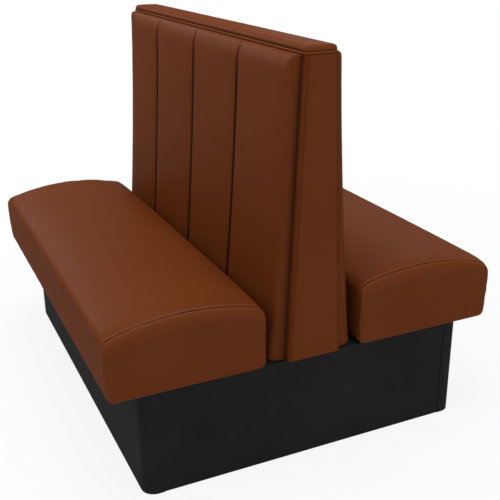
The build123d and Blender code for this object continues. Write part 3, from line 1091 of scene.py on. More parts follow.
@dataclass
class StitchRow:
    """A row of sewn stitches that lies on a skin."""

    setback: float = 4.6
    above: float = 0.3
    pitch: float = 4.2
    length: float = 3.2
    thickness: float = 0.42
    sink: float = 0.1
    sides: int = 6
    shares: tuple[float, ...] = (0.0, 0.12, 0.5, 0.88, 1.0)
    swells: tuple[float, ...] = (0.25, 0.85, 1.0, 0.85, 0.25)
    lifts: tuple[float, ...] = (-0.35, 0.0, 0.12, 0.0, -0.35)

    def add(self, skin: Skin, path: np.ndarray, normals: np.ndarray) -> None:
        """Adds the stitches along a path.

        Args:
            skin: Where they go.
            path: Points along the row, in millimetres.
            normals: The skin's outward directions at them.
        """
        steps = np.linalg.norm(np.diff(path, axis=0), axis=1)
        reached = np.concatenate(([0.0], np.cumsum(steps)))
        swell = np.array(self.swells) * self.thickness
        lift = np.array(self.lifts) - self.sink
        turn = np.arange(self.sides) * 2 * math.pi / self.sides
        for start in np.arange(self.pitch, reached[-1] - self.pitch, self.pitch):
            at = start + np.array(self.shares) * self.length
            middle = np.stack([np.interp(at, reached, path[:, axis]) for axis in range(3)], axis=1)
            up = np.stack([np.interp(at, reached, normals[:, axis]) for axis in range(3)], axis=1)
            up /= np.linalg.norm(up, axis=1)[:, None]
            along = middle[-1] - middle[0]
            along /= np.linalg.norm(along)
            side = np.cross(up, along)
            wheel = np.cos(turn)[None, :, None] * side[:, None] + np.sin(turn)[None, :, None] * up[:, None]
            centre = middle + up * lift[:, None]
            rings = skin.add(centre[:, None] + wheel * swell[:, None, None])
            skin.grid(rings, closed=True)
            skin.faces.append(tuple(rings[0][::-1]))
            skin.faces.append(tuple(rings[-1]))


# Seat


@dataclass
class SeatCushion:
    """The crowned seat: a band along the bench, sewn to a panel at each end.

    counts gives the points on each side of its section, anticlockwise from the foot of the back: the
    underside, the front hem, the front, the front top corner, the top, the back top corner, the back
    and the back hem.
    """

    wardrobe: Wardrobe
    cloth: ClothRest
    reach: float = 549.0
    back: float = 136.0
    base: float = PLINTH_HEIGHT + CAMBRIC
    front_edge: float = 167.0
    back_edge: float = 173.0
    camber: float = 24.0
    crown: float = 7.0
    crown_power: float = 2.6
    end_fall: float = 8.0
    fall_power: int = 36
    front_round: float = 21.0
    back_round: float = 26.0
    end_soften: float = 8.0
    soften_power: int = 12
    front_set: float = 5.0
    front_bulge: float = 2.0
    hem_round: float = 16.0
    top_roll: float = 18.0
    side_roll: float = 8.0
    roll_ease: tuple[int, int, int, int] = (-3, 3, 1, 2)
    end_bulge: float = 2.0
    counts: tuple[int, ...] = (35, 4, 12, 8, 30, 10, 11, 4)
    from_seam: tuple[float, ...] = (
        0.0, 0.9, 2.0, 3.6, 6.0, 9.5, 14.5, 21.0, 30.0, 42.0, 58.0, 78.0, 102.0, 130.0
    )
    seam_dip: tuple[float, ...] = (1.9, 0.6, 0.05, -0.2, -0.25, -0.15, -0.05, 0.0)
    # The marks paint shade into the seam and a highlight on the ridge beside it
    seam_mark: tuple[float, ...] = (1.0, 0.5, -0.25, -0.9, -0.45, -0.1, 0.0, 0.0)
    sewn_mark: float = 0.9
    middle_rows: int = 28
    panel_turns: tuple[float, ...] = (0.07, 0.16, 0.3, 0.5, 0.72, 0.9, 1.0)
    hem_held: tuple[float, float] = (4.0, 30.0)
    hem_loose: tuple[float, float] = (4.0, 34.0)
    hem_sag: float = 1.3
    free_front: tuple[float, float] = (8.0, 30.0)
    free_end: tuple[float, float] = (8.5, 3.5)
    hem_waves: Unevenness = Unevenness(0.4, 210.0, 2.0)

    def section(self, y: float) -> np.ndarray:
        """The seat's outline square to the bench.

        Args:
            y: A place along the bench.

        Returns:
            Points in the X-Z plane, shape (n, 2).
        """
        share = min(1.0, abs(y) / HALF_LENGTH)
        rise = self.crown * (1 - share**self.crown_power)
        edge = rise / 2 - self.end_fall * share**self.fall_power
        camber = self.camber + rise / 2
        soften = self.end_soften * share**self.soften_power
        front_round = self.front_round + soften
        back_round = self.back_round + soften
        front_top = self.base + self.front_edge + edge
        back_top = self.base + self.back_edge + edge
        hem = self.base + self.hem_round
        run = self.reach - self.back - front_round - back_round
        slope = 2 * math.atan2(2 * camber, run)
        tilt = math.atan2(back_top - front_top, run)
        front, back = slope + tilt, slope - tilt
        front_in = front_round * math.sin(front)
        back_in = back_round * math.sin(back)
        camber *= ((run + front_in + back_in) / run) ** 2
        front_top -= front_in * math.tan(front)
        back_top -= back_in * math.tan(back)
        corners = [
            (self.back + self.hem_round, self.base),
            (self.reach - self.front_set - self.hem_round, self.base),
            (self.reach - self.front_set, hem),
            (self.reach, front_top - front_round * math.cos(front)),
            (self.reach - front_round + front_in, front_top),
            (self.back + back_round - back_in, back_top),
            (self.back, back_top - back_round * math.cos(back)),
            (self.back, hem),
        ]
        hem_rise = QUARTER_RISE * self.hem_round
        front_rise = front_round * (1 - math.cos(math.pi / 4 - front / 2))
        back_rise = back_round * (1 - math.cos(math.pi / 4 - back / 2))
        rises = [0, hem_rise, self.front_bulge, front_rise, camber, back_rise, 0, hem_rise]
        return trace(corners, rises, self.counts)

    def rolls(self) -> np.ndarray:
        """The radius of the end panel's rolled edge all round the section.

        Returns:
            A radius for each point of the section, larger along its top.
        """
        starts = np.cumsum((0, *self.counts))
        index = np.arange(starts[-1])
        low, high, fall_low, fall_high = starts[3:7] + np.array(self.roll_ease)
        top = smooth(index, low, high) * (1 - smooth(index, fall_low, fall_high))
        return self.side_roll + (self.top_roll - self.side_roll) * top

    def ring(self, y: np.ndarray, inset: np.ndarray) -> np.ndarray:
        """One closed row of points of the skin.

        Args:
            y: Each point's place along the bench, shape (n,).
            inset: How far each point is drawn in, shape (n,).

        Returns:
            Places in millimetres, shape (n, 3).
        """
        flat = self.section(float(np.median(y)))
        drawn = flat - outwards(flat) * inset[:, None]
        return np.stack((drawn[:, 0], y, drawn[:, 1]), axis=1)

    def build(self, side: Side) -> bpy.types.Object:
        """Builds one seat's vinyl with its stitches and dresses it.

        Args:
            side: Which of the two seats.

        Returns:
            The vinyl.
        """
        skin = Skin()
        rolls = self.rolls()
        seam = HALF_LENGTH - rolls
        beyond = (0, len(self.from_seam) - len(self.seam_dip))
        dips, marks = np.pad(self.seam_dip, beyond), np.pad(self.seam_mark, beyond)
        near = [(-(seam - gone), dip, mark) for gone, dip, mark in zip(self.from_seam, dips, marks)]
        start = near[-1][0]
        shares = [1 - 2 * step / self.middle_rows for step in range(1, self.middle_rows)]
        middle = [(start * share, 0.0, 0.0) for share in shares]
        far = [(-y, dip, mark) for y, dip, mark in reversed(near)]
        rows = []
        for y, dip, mark in near + middle + far:
            rows.append(skin.add(self.ring(y, np.full(len(rolls), dip)), mark))
        skin.grid(np.array(rows), closed=True)
        self.panel(skin, rows[0], rolls, End.NEAR)
        self.panel(skin, rows[-1], rolls, End.FAR)
        piece = skin.build(f"{side.word}_seat_upholstery", flip=side is Side.LEFT)
        self.sag(piece)
        low = 1 - smooth(np.vstack(skin.points)[:, 2] - self.base, *self.hem_held)
        sewn = (np.abs(np.concatenate(skin.marks)) > self.sewn_mark).astype(float)
        self.cloth.settle(piece, np.round(np.maximum(low, sewn), 2), side)
        subdivide(piece)
        self.wardrobe.dress(piece, Slot.VINYL)
        body = f"{side.word}_seat"
        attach(piece, body)
        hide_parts(*(f"{body}_{tail}" for tail in ("cover", "foam", "edge_foam")))
        log.info("built %s", piece.name)
        self.stitch(side)
        return piece

    def stitch(self, side: Side) -> None:
        """Sews the row of stitches beside each end seam, over the front, the top and the back.

        Args:
            side: Which of the two seats.
        """
        skin = Skin()
        row = StitchRow()
        rolls = self.rolls()
        first, last = self.counts[0] + self.counts[1], len(rolls) - self.counts[7]
        for end in End:
            y = end.value * (HALF_LENGTH - rolls - row.setback)
            path = self.ring(y, np.full(len(rolls), -row.above))[first:last]
            out = outwards(self.section(HALF_LENGTH))[first:last]
            normals = np.stack((out[:, 0], np.zeros(len(out)), out[:, 1]), axis=1)
            row.add(skin, path, normals)
        thread = skin.build(f"{side.word}_seat_stitches", flip=side is Side.LEFT)
        self.wardrobe.dress(thread, Slot.VINYL, self.wardrobe.thread)
        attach(thread, f"{side.word}_seat")
        log.info("built %s", thread.name)

    def panel(self, skin: Skin, seam_row: np.ndarray, rolls: np.ndarray, end: End) -> None:
        """Adds one end panel, from its seam over its rolled edge.

        Args:
            skin: Where it goes.
            seam_row: Indices of the seam's own points.
            rolls: The rolled edge's radius at each point.
            end: Which end it closes.
        """
        rows = [seam_row]
        from_seam = self.from_seam[: len(self.seam_dip)]
        for turn in self.panel_turns:
            angle = turn * math.pi / 2
            gone = rolls * angle
            dip = np.interp(gone, from_seam, self.seam_dip)
            mark = np.interp(gone, from_seam, self.seam_mark)
            y = HALF_LENGTH - rolls + (rolls - dip) * math.sin(angle)
            inset = rolls - (rolls - dip) * math.cos(angle)
            rows.append(skin.add(self.ring(end.value * y, inset), mark))
        skin.grid(np.array(rows[::-1] if end is End.NEAR else rows), closed=True)
        last = np.vstack(skin.points)[rows[-1]]
        back_hem, front_hem, front_corner = self.counts[7] // 2, self.counts[1] // 2, self.counts[3] // 2
        first = len(last) - back_hem
        across = back_hem + self.counts[0] + front_hem
        up = front_hem + self.counts[2] + front_corner
        inner = patch(last, first, across, up)
        u = np.sin(np.linspace(0, math.pi, across + 1))[None, :]
        v = np.sin(np.linspace(0, math.pi, up + 1))[:, None]
        inner[..., 1] += end.value * self.end_bulge * np.sqrt(u * v)
        skin.fill(rows[-1], inner, first)

    def sag(self, piece: bpy.types.Object) -> None:
        """Lets the hem sag a little, unevenly, where it stands out beyond the plinth.

        Args:
            piece: The seat's vinyl.
        """
        places = places_of(piece.data) / MM
        low = 1 - smooth(places[:, 2] - self.base, *self.hem_loose)
        first, whole = (PLINTH_REACH + beyond for beyond in self.free_front)
        free = smooth(np.abs(places[:, 0]), first, whole)
        first, whole = (HALF_LENGTH - before for before in self.free_end)
        free = free + smooth(np.abs(places[:, 1]), first, whole)
        wave = 1 - self.hem_waves.height + self.hem_waves.at(places)
        places[:, 2] -= self.hem_sag * low * np.clip(free, 0, 1) * wave
        move_points(piece.data, places * MM)


# Backrest


@dataclass
class BackPad:
    """The leaning pad with four sewn channels, its ends rolled back and its top rolled in.

    shares gives the channels' shares of its length, from the near end to the far one.
    """

    wardrobe: Wardrobe
    cloth: ClothRest
    foot: float = 120.0
    head: float = 66.0
    hollow: float = 5.0
    lip: float = 2.5
    end_roll: float = 26.0
    end_power: int = 2
    foot_round: float = 7.0
    top_roll: float = 62.0
    top_reach: float = 46.5
    top_edge_reach: float = 59.0
    top_edge_roll: float = 12.0
    top_edge: tuple[float, float] = (30.0, 4.0)
    shares: tuple[float, ...] = (0.2500, 0.2535, 0.2622, 0.2343)
    crown: float = 3.5
    crown_power: int = 3
    seam_depth: float = 15.0
    seam_fade: tuple[float, float] = (4.0, 84.0)
    top_depth: float = 0.08
    top_mark: float = 0.15
    half_gap: float = 0.9
    shoulder: float = 7.5
    # dark gives where the shade painted in a seam fades out; the ridge values place a painted highlight
    # beside each seam
    dark: tuple[float, float] = (3.1, 6.1)
    ridge_away: float = 8.0
    ridge_width: float = 1.8
    ridge_mark: float = 0.5
    panel_foot: float = 74.0
    panel_head: float = 41.0
    panel_gap: float = 0.8
    frame_foot: float = 60.0
    frame_head: float = 26.0
    board: float = 585.5
    end: float = 592.0
    # Shade painted into the grooves at the pads' ends, darker on the left pad and weaker under the cap
    left_groove_shade: float = 0.8
    right_groove_shade: float = 0.15
    top_groove_shade: float = 0.5
    groove_shade_power: float = 1.8
    unevenness: Unevenness = Unevenness(0.35, 260.0, 5.0)
    held_edge: tuple[float, float] = (4.0, 30.0)
    held_end: tuple[float, float] = (2.0, 10.0)
    channel_cells: int = 28
    roll_cells: int = 10
    first_turn: float = 0.06
    foot_steps: tuple[float, ...] = (0.0, 0.6, 1.8, 3.6, 5.6, 8.0, 13.0, 22.0)
    body_steps: tuple[float, float, int] = (40.0, 84.0, 26)
    head_steps: tuple[float, ...] = (
        72.0, 62.0, 54.0, 47.0, 41.0, 35.5, 30.0, 25.0, 20.5, 16.0, 12.0, 8.5, 5.5, 3.0, 1.2, 0.0
    )

    def seams(self) -> list[float]:
        """Where the three seams lie along the bench."""
        reached = np.cumsum(self.shares[:-1])
        return [float(2 * self.end * share - self.end) for share in reached]

    def columns(self) -> np.ndarray:
        """Where the columns of the mesh lie along the bench.

        Returns:
            The places, closer together at the ends and beside the seams.
        """
        stop = self.end - self.end_roll
        turn = np.insert(np.linspace(0, math.pi / 2, self.roll_cells + 1)[:-1], 1, self.first_turn)
        near = -stop - self.end_roll * np.cos(turn)
        places = [near]
        edges = [-stop, *self.seams(), stop]
        last = len(edges) - 2
        share = (1 - np.cos(np.linspace(0, math.pi, self.channel_cells + 1))) / 2
        for index, (low, high) in enumerate(zip(edges[:-1], edges[1:])):
            low += self.half_gap if index else 0.0
            high -= self.half_gap if index < last else 0.0
            places.append(low + share * (high - low))
            if index < last:
                places.append(np.array([edges[index + 1]]))
        places.append(-near[::-1])
        return np.concatenate(places)

    def rows(self) -> np.ndarray:
        """The heights of the mesh's rows.

        Returns:
            The heights, closer together at the foot and under the cap.
        """
        low = PLINTH_HEIGHT + FIT
        above, below, count = self.body_steps
        body = np.linspace(low + above, HEAD - below, count)
        return np.concatenate((low + np.array(self.foot_steps), body, HEAD - np.array(self.head_steps)))

    def surface(self, y: np.ndarray, z: np.ndarray, groove_shade: float) -> tuple[np.ndarray, np.ndarray]:
        """The pad's face.

        Args:
            y: Places along the bench, shape (1, columns).
            z: Heights, shape (rows, 1).
            groove_shade: How dark the shade painted in the grooves at the ends is, 0 to 1.

        Returns:
            How far the face is from the middle, and a mark for each point: how near a seam it is, and the
            shade painted in the grooves at the ends.
        """
        share = (z - PLINTH_HEIGHT) / (HEAD - PLINTH_HEIGHT)
        face = self.foot + (self.head - self.foot) * share - self.hollow * 4 * share * (1 - share)
        stop = self.end - self.end_roll
        edges = [-stop, *self.seams(), stop]
        channel = np.zeros_like(y)
        for low, high in zip(edges[:-1], edges[1:]):
            t = np.clip((y - low) / (high - low), 0, 1)
            channel += np.where((y >= low) & (y <= high), 1 - np.abs(2 * t - 1) ** self.crown_power, 0)
        face = face + self.crown * channel
        mark = np.zeros_like(face)
        below = smooth(HEAD - z, *self.seam_fade)
        depth = self.seam_depth * (self.top_depth + (1 - self.top_depth) * below)
        for seam in self.seams():
            away = np.abs(y - seam) - self.half_gap
            face = face - depth * quarter(1 - away / self.shoulder)
            # Shade is painted into each seam and a highlight on the ridge beside it
            dark = (1 - smooth(away, *self.dark)) * (self.top_mark + (1 - self.top_mark) * below)
            ridge = np.exp(-(((away - self.ridge_away) / self.ridge_width) ** 2)) * below
            mark = np.maximum(mark, dark) - self.ridge_mark * ridge
        edge = smooth(np.abs(y), stop - self.top_edge[0], self.end - self.top_edge[1])
        roll_height = self.top_roll + (self.top_edge_roll - self.top_roll) * edge
        reach = self.top_reach + (self.top_edge_reach - self.top_reach) * edge
        face = face - (self.head - reach) * quarter((z - HEAD) / roll_height + 1)
        lip = lean(self.panel_foot, self.panel_head, z) + self.lip
        gone = (np.abs(y) - stop) / self.end_roll
        rolled = quarter(np.clip(gone, 0, 1) ** self.end_power)
        face = face - (face - lip) * rolled
        # Shade painted into the groove where the end rolls back
        painted_groove_shade = groove_shade * rolled**self.groove_shade_power * (self.top_groove_shade + (1 - self.top_groove_shade) * below)
        rise = (z - PLINTH_HEIGHT - FIT) / self.foot_round
        return face - self.foot_round * quarter(1 - rise), np.maximum(mark, painted_groove_shade)

    def build(self, side: Side) -> bpy.types.Object:
        """Builds one pad's vinyl and dresses it.

        Args:
            side: Which of the two pads.

        Returns:
            The vinyl.
        """
        y = self.columns()[None, :]
        z = self.rows()[:, None]
        face, mark = self.surface(y, z, self.left_groove_shade if side is Side.LEFT else self.right_groove_shade)
        heights = np.broadcast_to(z, face.shape)
        along = flare(np.broadcast_to(y, face.shape), heights)
        outer = np.stack((face, along, heights), axis=2)
        outer[..., 0] += self.unevenness.at(outer)
        behind = lean(self.frame_foot, self.frame_head, heights) + FIT
        beside = lean(self.panel_foot, self.panel_head, heights) + self.panel_gap
        inner = np.stack((np.where(np.abs(y) > self.board, beside, behind), along, heights), axis=2)
        skin = Skin()
        skin.sheet(outer, inner, mark)
        piece = skin.build(f"{side.word}_backrest_pad", flip=side is Side.LEFT)
        free = smooth(heights - PLINTH_HEIGHT, *self.held_edge) * smooth(HEAD - heights, *self.held_edge)
        free = free * (1 - np.clip(mark, 0, 1)) * smooth(self.end - np.abs(y), *self.held_end)
        held = np.ones(skin.count)
        held[: free.size] = np.round(1 - free.reshape(-1), 2)
        self.cloth.settle(piece, held, side)
        subdivide(piece)
        self.wardrobe.dress(piece, Slot.VINYL)
        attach(piece, "root")
        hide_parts(f"{side.word}_backrest_cover", f"{side.word}_backrest_foam")
        log.info("built %s", piece.name)
        return piece


@dataclass
class EndBoardCover:
    """The vinyl over a padded end board, wrapped round its two leaning edges.

    fold gives the marks of the points round each edge, where a faint line of shade is painted in the fold.
    """

    wardrobe: Wardrobe
    foot: float = 74.5
    head: float = 41.0
    clear: float = 0.2
    thickness: float = 23.5
    edge_round: float = 7.0
    face_depth: float = 5.5
    side_depth: float = 1.5
    puff: float = 1.4
    puff_power: int = 4
    puff_foot: float = 40.0
    puff_head: float = 25.0
    face_band: float = 3.0
    unevenness: Unevenness = Unevenness(0.3, 180.0, 9.0)
    # The fold's marks paint a faint line of shade round each edge
    fold: tuple[float, ...] = (0.0, 0.0, 0.0, 0.0, 0.15, 0.4, 0.4, 0.15)
    side_cells: int = 6
    face_cells: int = 18
    end_steps: tuple[float, ...] = (0.0, 0.8, 2.4, 6.0, 14.0, 30.0)
    body_step: float = 60.0
    body_rows: int = 30

    def grid(self, z: np.ndarray, inset: float, face: float) -> np.ndarray:
        """One side of the cover, from its left inner edge round to its right one.

        Args:
            z: The rows' heights, shape (rows, 1).
            inset: How far it is drawn in at the sides.
            face: How far the face is drawn in.

        Returns:
            Places of the near cover, shape (rows, columns, 3).
        """
        reach = lean(self.foot, self.head, z)
        turn = np.linspace(0, math.pi / 2, len(self.fold))
        side_y = np.linspace(self.thickness, self.edge_round, self.side_cells + 1)[:-1] - HALF_LENGTH
        corner_x = self.edge_round - (self.edge_round - inset) * np.cos(turn)
        corner_y = (self.edge_round - face) * (1 - np.sin(turn)) + face - HALF_LENGTH
        left = np.concatenate((np.full(self.side_cells, inset), corner_x)) - reach
        middle = (reach - self.edge_round) * np.linspace(-1, 1, self.face_cells + 1)[1:-1]
        x = np.concatenate((left, middle, -left[:, ::-1]), axis=1)
        along = np.concatenate((side_y, corner_y))
        y = np.concatenate((along, np.full(middle.shape[1], face - HALF_LENGTH), along[::-1]))
        return np.stack((x, *np.broadcast_arrays(y, z)), axis=2)

    def build(self, end: End) -> bpy.types.Object:
        """Builds the cover of one end board and dresses it.

        Args:
            end: Which of the two end boards.

        Returns:
            The cover.
        """
        low, high = PLINTH_HEIGHT + self.clear, HEAD
        steps = np.array(self.end_steps)
        body = np.linspace(low + self.body_step, high - self.body_step, self.body_rows)
        z = np.concatenate((low + steps, body, high - steps[::-1]))[:, None]
        outer = self.grid(z, 0.0, 0.0)
        inner = self.grid(z, self.side_depth, self.face_depth)
        width = lean(self.foot, self.head, z) - self.edge_round
        across = np.clip(np.abs(outer[..., 0]) / width, 0, 1)
        facing = smooth(-outer[..., 1], HALF_LENGTH - self.face_band, HALF_LENGTH)
        ends = smooth(z, low, low + self.puff_foot) * smooth(-z, -high, self.puff_head - high)
        bulge = self.puff * (1 - across**self.puff_power) + self.unevenness.at(outer)
        outer[..., 1] -= facing * ends * bulge
        for grid in (outer, inner):
            grid[..., 1] = -end.value * flare(-end.value * grid[..., 1], grid[..., 2])
        half = np.concatenate((np.zeros(self.side_cells), self.fold))
        mark = np.concatenate((half, np.zeros(self.face_cells - 1), half[::-1]))
        skin = Skin()
        skin.sheet(outer, inner, mark)
        piece = skin.build(f"{end.word}_end_board_upholstery")
        if end is End.FAR:
            piece.data.transform(Matrix.Scale(-1, 4, Vector((0, 1, 0))))
            piece.data.flip_normals()
        subdivide(piece)
        self.wardrobe.dress(piece, Slot.VINYL)
        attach(piece, "root")
        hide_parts(f"{end.word}_end_cover", f"{end.word}_end_foam")
        log.info("built %s", piece.name)
        return piece


@dataclass
class PlinthTrim:
    """The dark filler in the four joints between the plinth's laminates."""

    wardrobe: Wardrobe
    joint_foot: float = 415.2
    joint: float = 0.8
    lap: float = 0.05
    face: float = 599.0
    depth: float = 1.8
    sink: float = 0.1
    clear: float = 0.2

    def build(self) -> bpy.types.Object:
        """Builds the four strips as one piece and dresses it.

        Returns:
            The strips.
        """
        skin = Skin()
        across = (self.joint_foot - self.lap, self.joint_foot + self.joint + self.lap)
        along = (self.face - self.depth, self.face - self.sink)
        levels = (self.clear, PLINTH_HEIGHT - self.clear)
        for end in End:
            for side in Side:
                left, right = (side.value * x for x in across)
                back, front = (end.value * y for y in along)
                plan = [(left, back), (right, back), (right, front), (left, front)]
                low, high = (skin.add(np.array([(*spot, level) for spot in plan])) for level in levels)
                skin.bridge(low, high, closed=True)
                skin.faces += [tuple(low[::-1]), tuple(high)]
        strips = skin.build("plinth_joint_filler")
        for face in strips.data.polygons:
            face.use_smooth = False
        self.wardrobe.dress(strips, Slot.LAMINATE)
        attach(strips, "root")
        log.info("built %s", strips.name)
        return strips


@dataclass
class CapPad:
    """The padded cap on top of the backrest, with its groove and its welt.

    heights, side_insets, end_insets and marks give the rows of its wall from foot to top. The rows are
    drawn in by side_insets along the sides and by end_insets at the ends and the corners.
    """

    wardrobe: Wardrobe
    reach: float = 41.5
    end: float = HALF_LENGTH * (1 + NEAR_FLARE) - CAP_SETBACK
    plan_round: float = 10.0
    welt: float = 2.6
    welt_lift: float = 0.1
    welt_sides: int = 12
    # The welt's mark paints a highlight along the cord
    welt_mark: float = -0.5
    long_cells: int = 96
    short_cells: int = 12
    corner_cells: int = 8
    camber: float = 2.0
    camber_power: float = 0.25
    unevenness: Unevenness = Unevenness(0.25, 150.0, 3.0)
    turn_band: tuple[float, float] = (0.3, 0.8)
    end_band: tuple[float, float] = (4.0, 34.0)
    heights: tuple[float, ...] = (0.3, 0.8, 2.0, 5.2, 6.0, 6.7, 7.4, 8.8, 11.6, 14.6, 16.8, 18.2, 19.0)
    side_insets: tuple[float, ...] = (0.9, 0.3, 0.3, 0.3, 0.6, 0.9, 0.0, -0.9, -1.2, -0.5, 1.2, 3.8, 7.0)
    end_insets: tuple[float, ...] = (0.9, 0.3, 0.0, -0.6, -1.0, -1.3, -1.5, -1.7, -1.5, -0.4, 1.6, 4.2, 7.2)
    # marks paint shade into the groove above the welt and a highlight on the bulge above it
    marks: tuple[float, ...] = (0.0, 0.0, 0.0, 0.05, 0.3, 0.6, 0.2, -0.1, -0.35, -0.15, 0.0, 0.0, 0.0)

    def plan(self, grow: float) -> np.ndarray:
        """The cap's outline in plan, a rounded rectangle that is a little longer at the far end.

        Args:
            grow: How far it is grown outwards.

        Returns:
            The outline's points, shape (n, 2).
        """
        turn = self.plan_round + grow
        x, y = self.reach + grow, self.end + grow
        corners = [
            (turn - x, -y),
            (x - turn, -y),
            (x, turn - y),
            (x, y - turn),
            (x - turn, y),
            (turn - x, y),
            (-x, y - turn),
            (-x, turn - y),
        ]
        counts = [self.short_cells, self.corner_cells, self.long_cells, self.corner_cells] * 2
        ring = trace(corners, [0, QUARTER_RISE * turn] * 4, counts)
        ring[:, 1] *= np.where(ring[:, 1] > 0, (1 + FAR_FLARE) / (1 + NEAR_FLARE), 1.0)
        return ring

    def build(self) -> list[bpy.types.Object]:
        """Builds the cap and its welt and dresses them.

        Returns:
            The cap and the welt.
        """
        skin = Skin()
        base = self.plan(0.0)
        out = outwards(base)
        inward = self.end - np.abs(base[:, 1])
        sides = (1 - smooth(np.abs(out[:, 1]), *self.turn_band)) * smooth(inward, *self.end_band)
        rows = []
        for height, side, end, mark in zip(self.heights, self.side_insets, self.end_insets, self.marks):
            flat = base - out * (sides * side + (1 - sides) * end)[:, None]
            lift = np.full(len(flat), CAP_FOOT + height)
            rows.append(skin.add(np.column_stack((flat, lift)), np.where(mark > 0, mark * sides, mark)))
        skin.grid(np.array(rows), closed=True)
        half = self.corner_cells // 2
        first = len(base) - half
        across = self.short_cells + 2 * half
        up = self.long_cells + 2 * half
        wall = np.vstack(skin.points)
        top = patch(wall[rows[-1]], first, across, up)
        arch = np.sin(np.linspace(0, math.pi, across + 1))[None, :]
        run = np.sin(np.linspace(0, math.pi, up + 1))[:, None] ** self.camber_power
        top[..., 2] += self.camber * arch * run + self.unevenness.at(top) * arch * run
        skin.fill(rows[-1], top, first)
        skin.fill(rows[0], patch(wall[rows[0]], first, across, up), first)
        cap = skin.build("cap_upholstery")
        subdivide(cap)
        self.wardrobe.dress(cap, Slot.VINYL)
        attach(cap, "root")
        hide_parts("cap_cover", "cap_foam")
        log.info("built %s", cap.name)
        return [cap, self.build_welt()]

    def build_welt(self) -> bpy.types.Object:
        """Builds the covered cord sewn round the foot of the cap.

        Returns:
            The welt.
        """
        skin = Skin()
        path = self.plan(FIT + self.welt)
        out = outwards(path)
        rows = []
        for angle in np.linspace(0, 2 * math.pi, self.welt_sides, endpoint=False):
            flat = path + out * (self.welt * math.cos(angle))
            height = CAP_FOOT + self.welt + self.welt_lift + self.welt * math.sin(angle)
            rows.append(skin.add(np.column_stack((flat, np.full(len(path), height))), self.welt_mark))
        skin.grid(np.array(rows + rows[:1]), closed=True)
        welt = skin.build("cap_welt_cord")
        subdivide(welt)
        self.wardrobe.dress(welt, Slot.VINYL)
        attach(welt, "root")
        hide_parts("cap_welt")
        log.info("built %s", welt.name)
        return welt


# Studio


def seen_white(graph: Graph, path: bpy.types.Node) -> bpy.types.NodeSocket:
    """Whether a ray should see the white background.

    Args:
        graph: The material's or world's graph.
        path: Its Light Path node.

    Returns:
        A socket that is 1 for camera, mirror and glass rays.
    """
    either = graph.math("MAXIMUM", path.outputs["Is Camera Ray"], path.outputs["Is Glossy Ray"])
    return graph.math("MAXIMUM", either, path.outputs["Is Transmission Ray"])


@dataclass(frozen=True)
class Lamp:
    """A soft rectangular light."""

    name: str
    place: tuple[float, float, float]
    aim: tuple[float, float, float]
    size: tuple[float, float]
    power: float

    def build(self) -> None:
        """Adds the lamp to the scene."""
        data = bpy.data.lights.new(self.name, "AREA")
        data.shape = "RECTANGLE"
        data.size, data.size_y = self.size
        data.energy = self.power
        lamp = bpy.data.objects.new(self.name, data)
        lamp.location = self.place
        lamp.rotation_euler = (Vector(self.aim) - Vector(self.place)).to_track_quat("-Z", "Y").to_euler()
        bpy.context.scene.collection.objects.link(lamp)


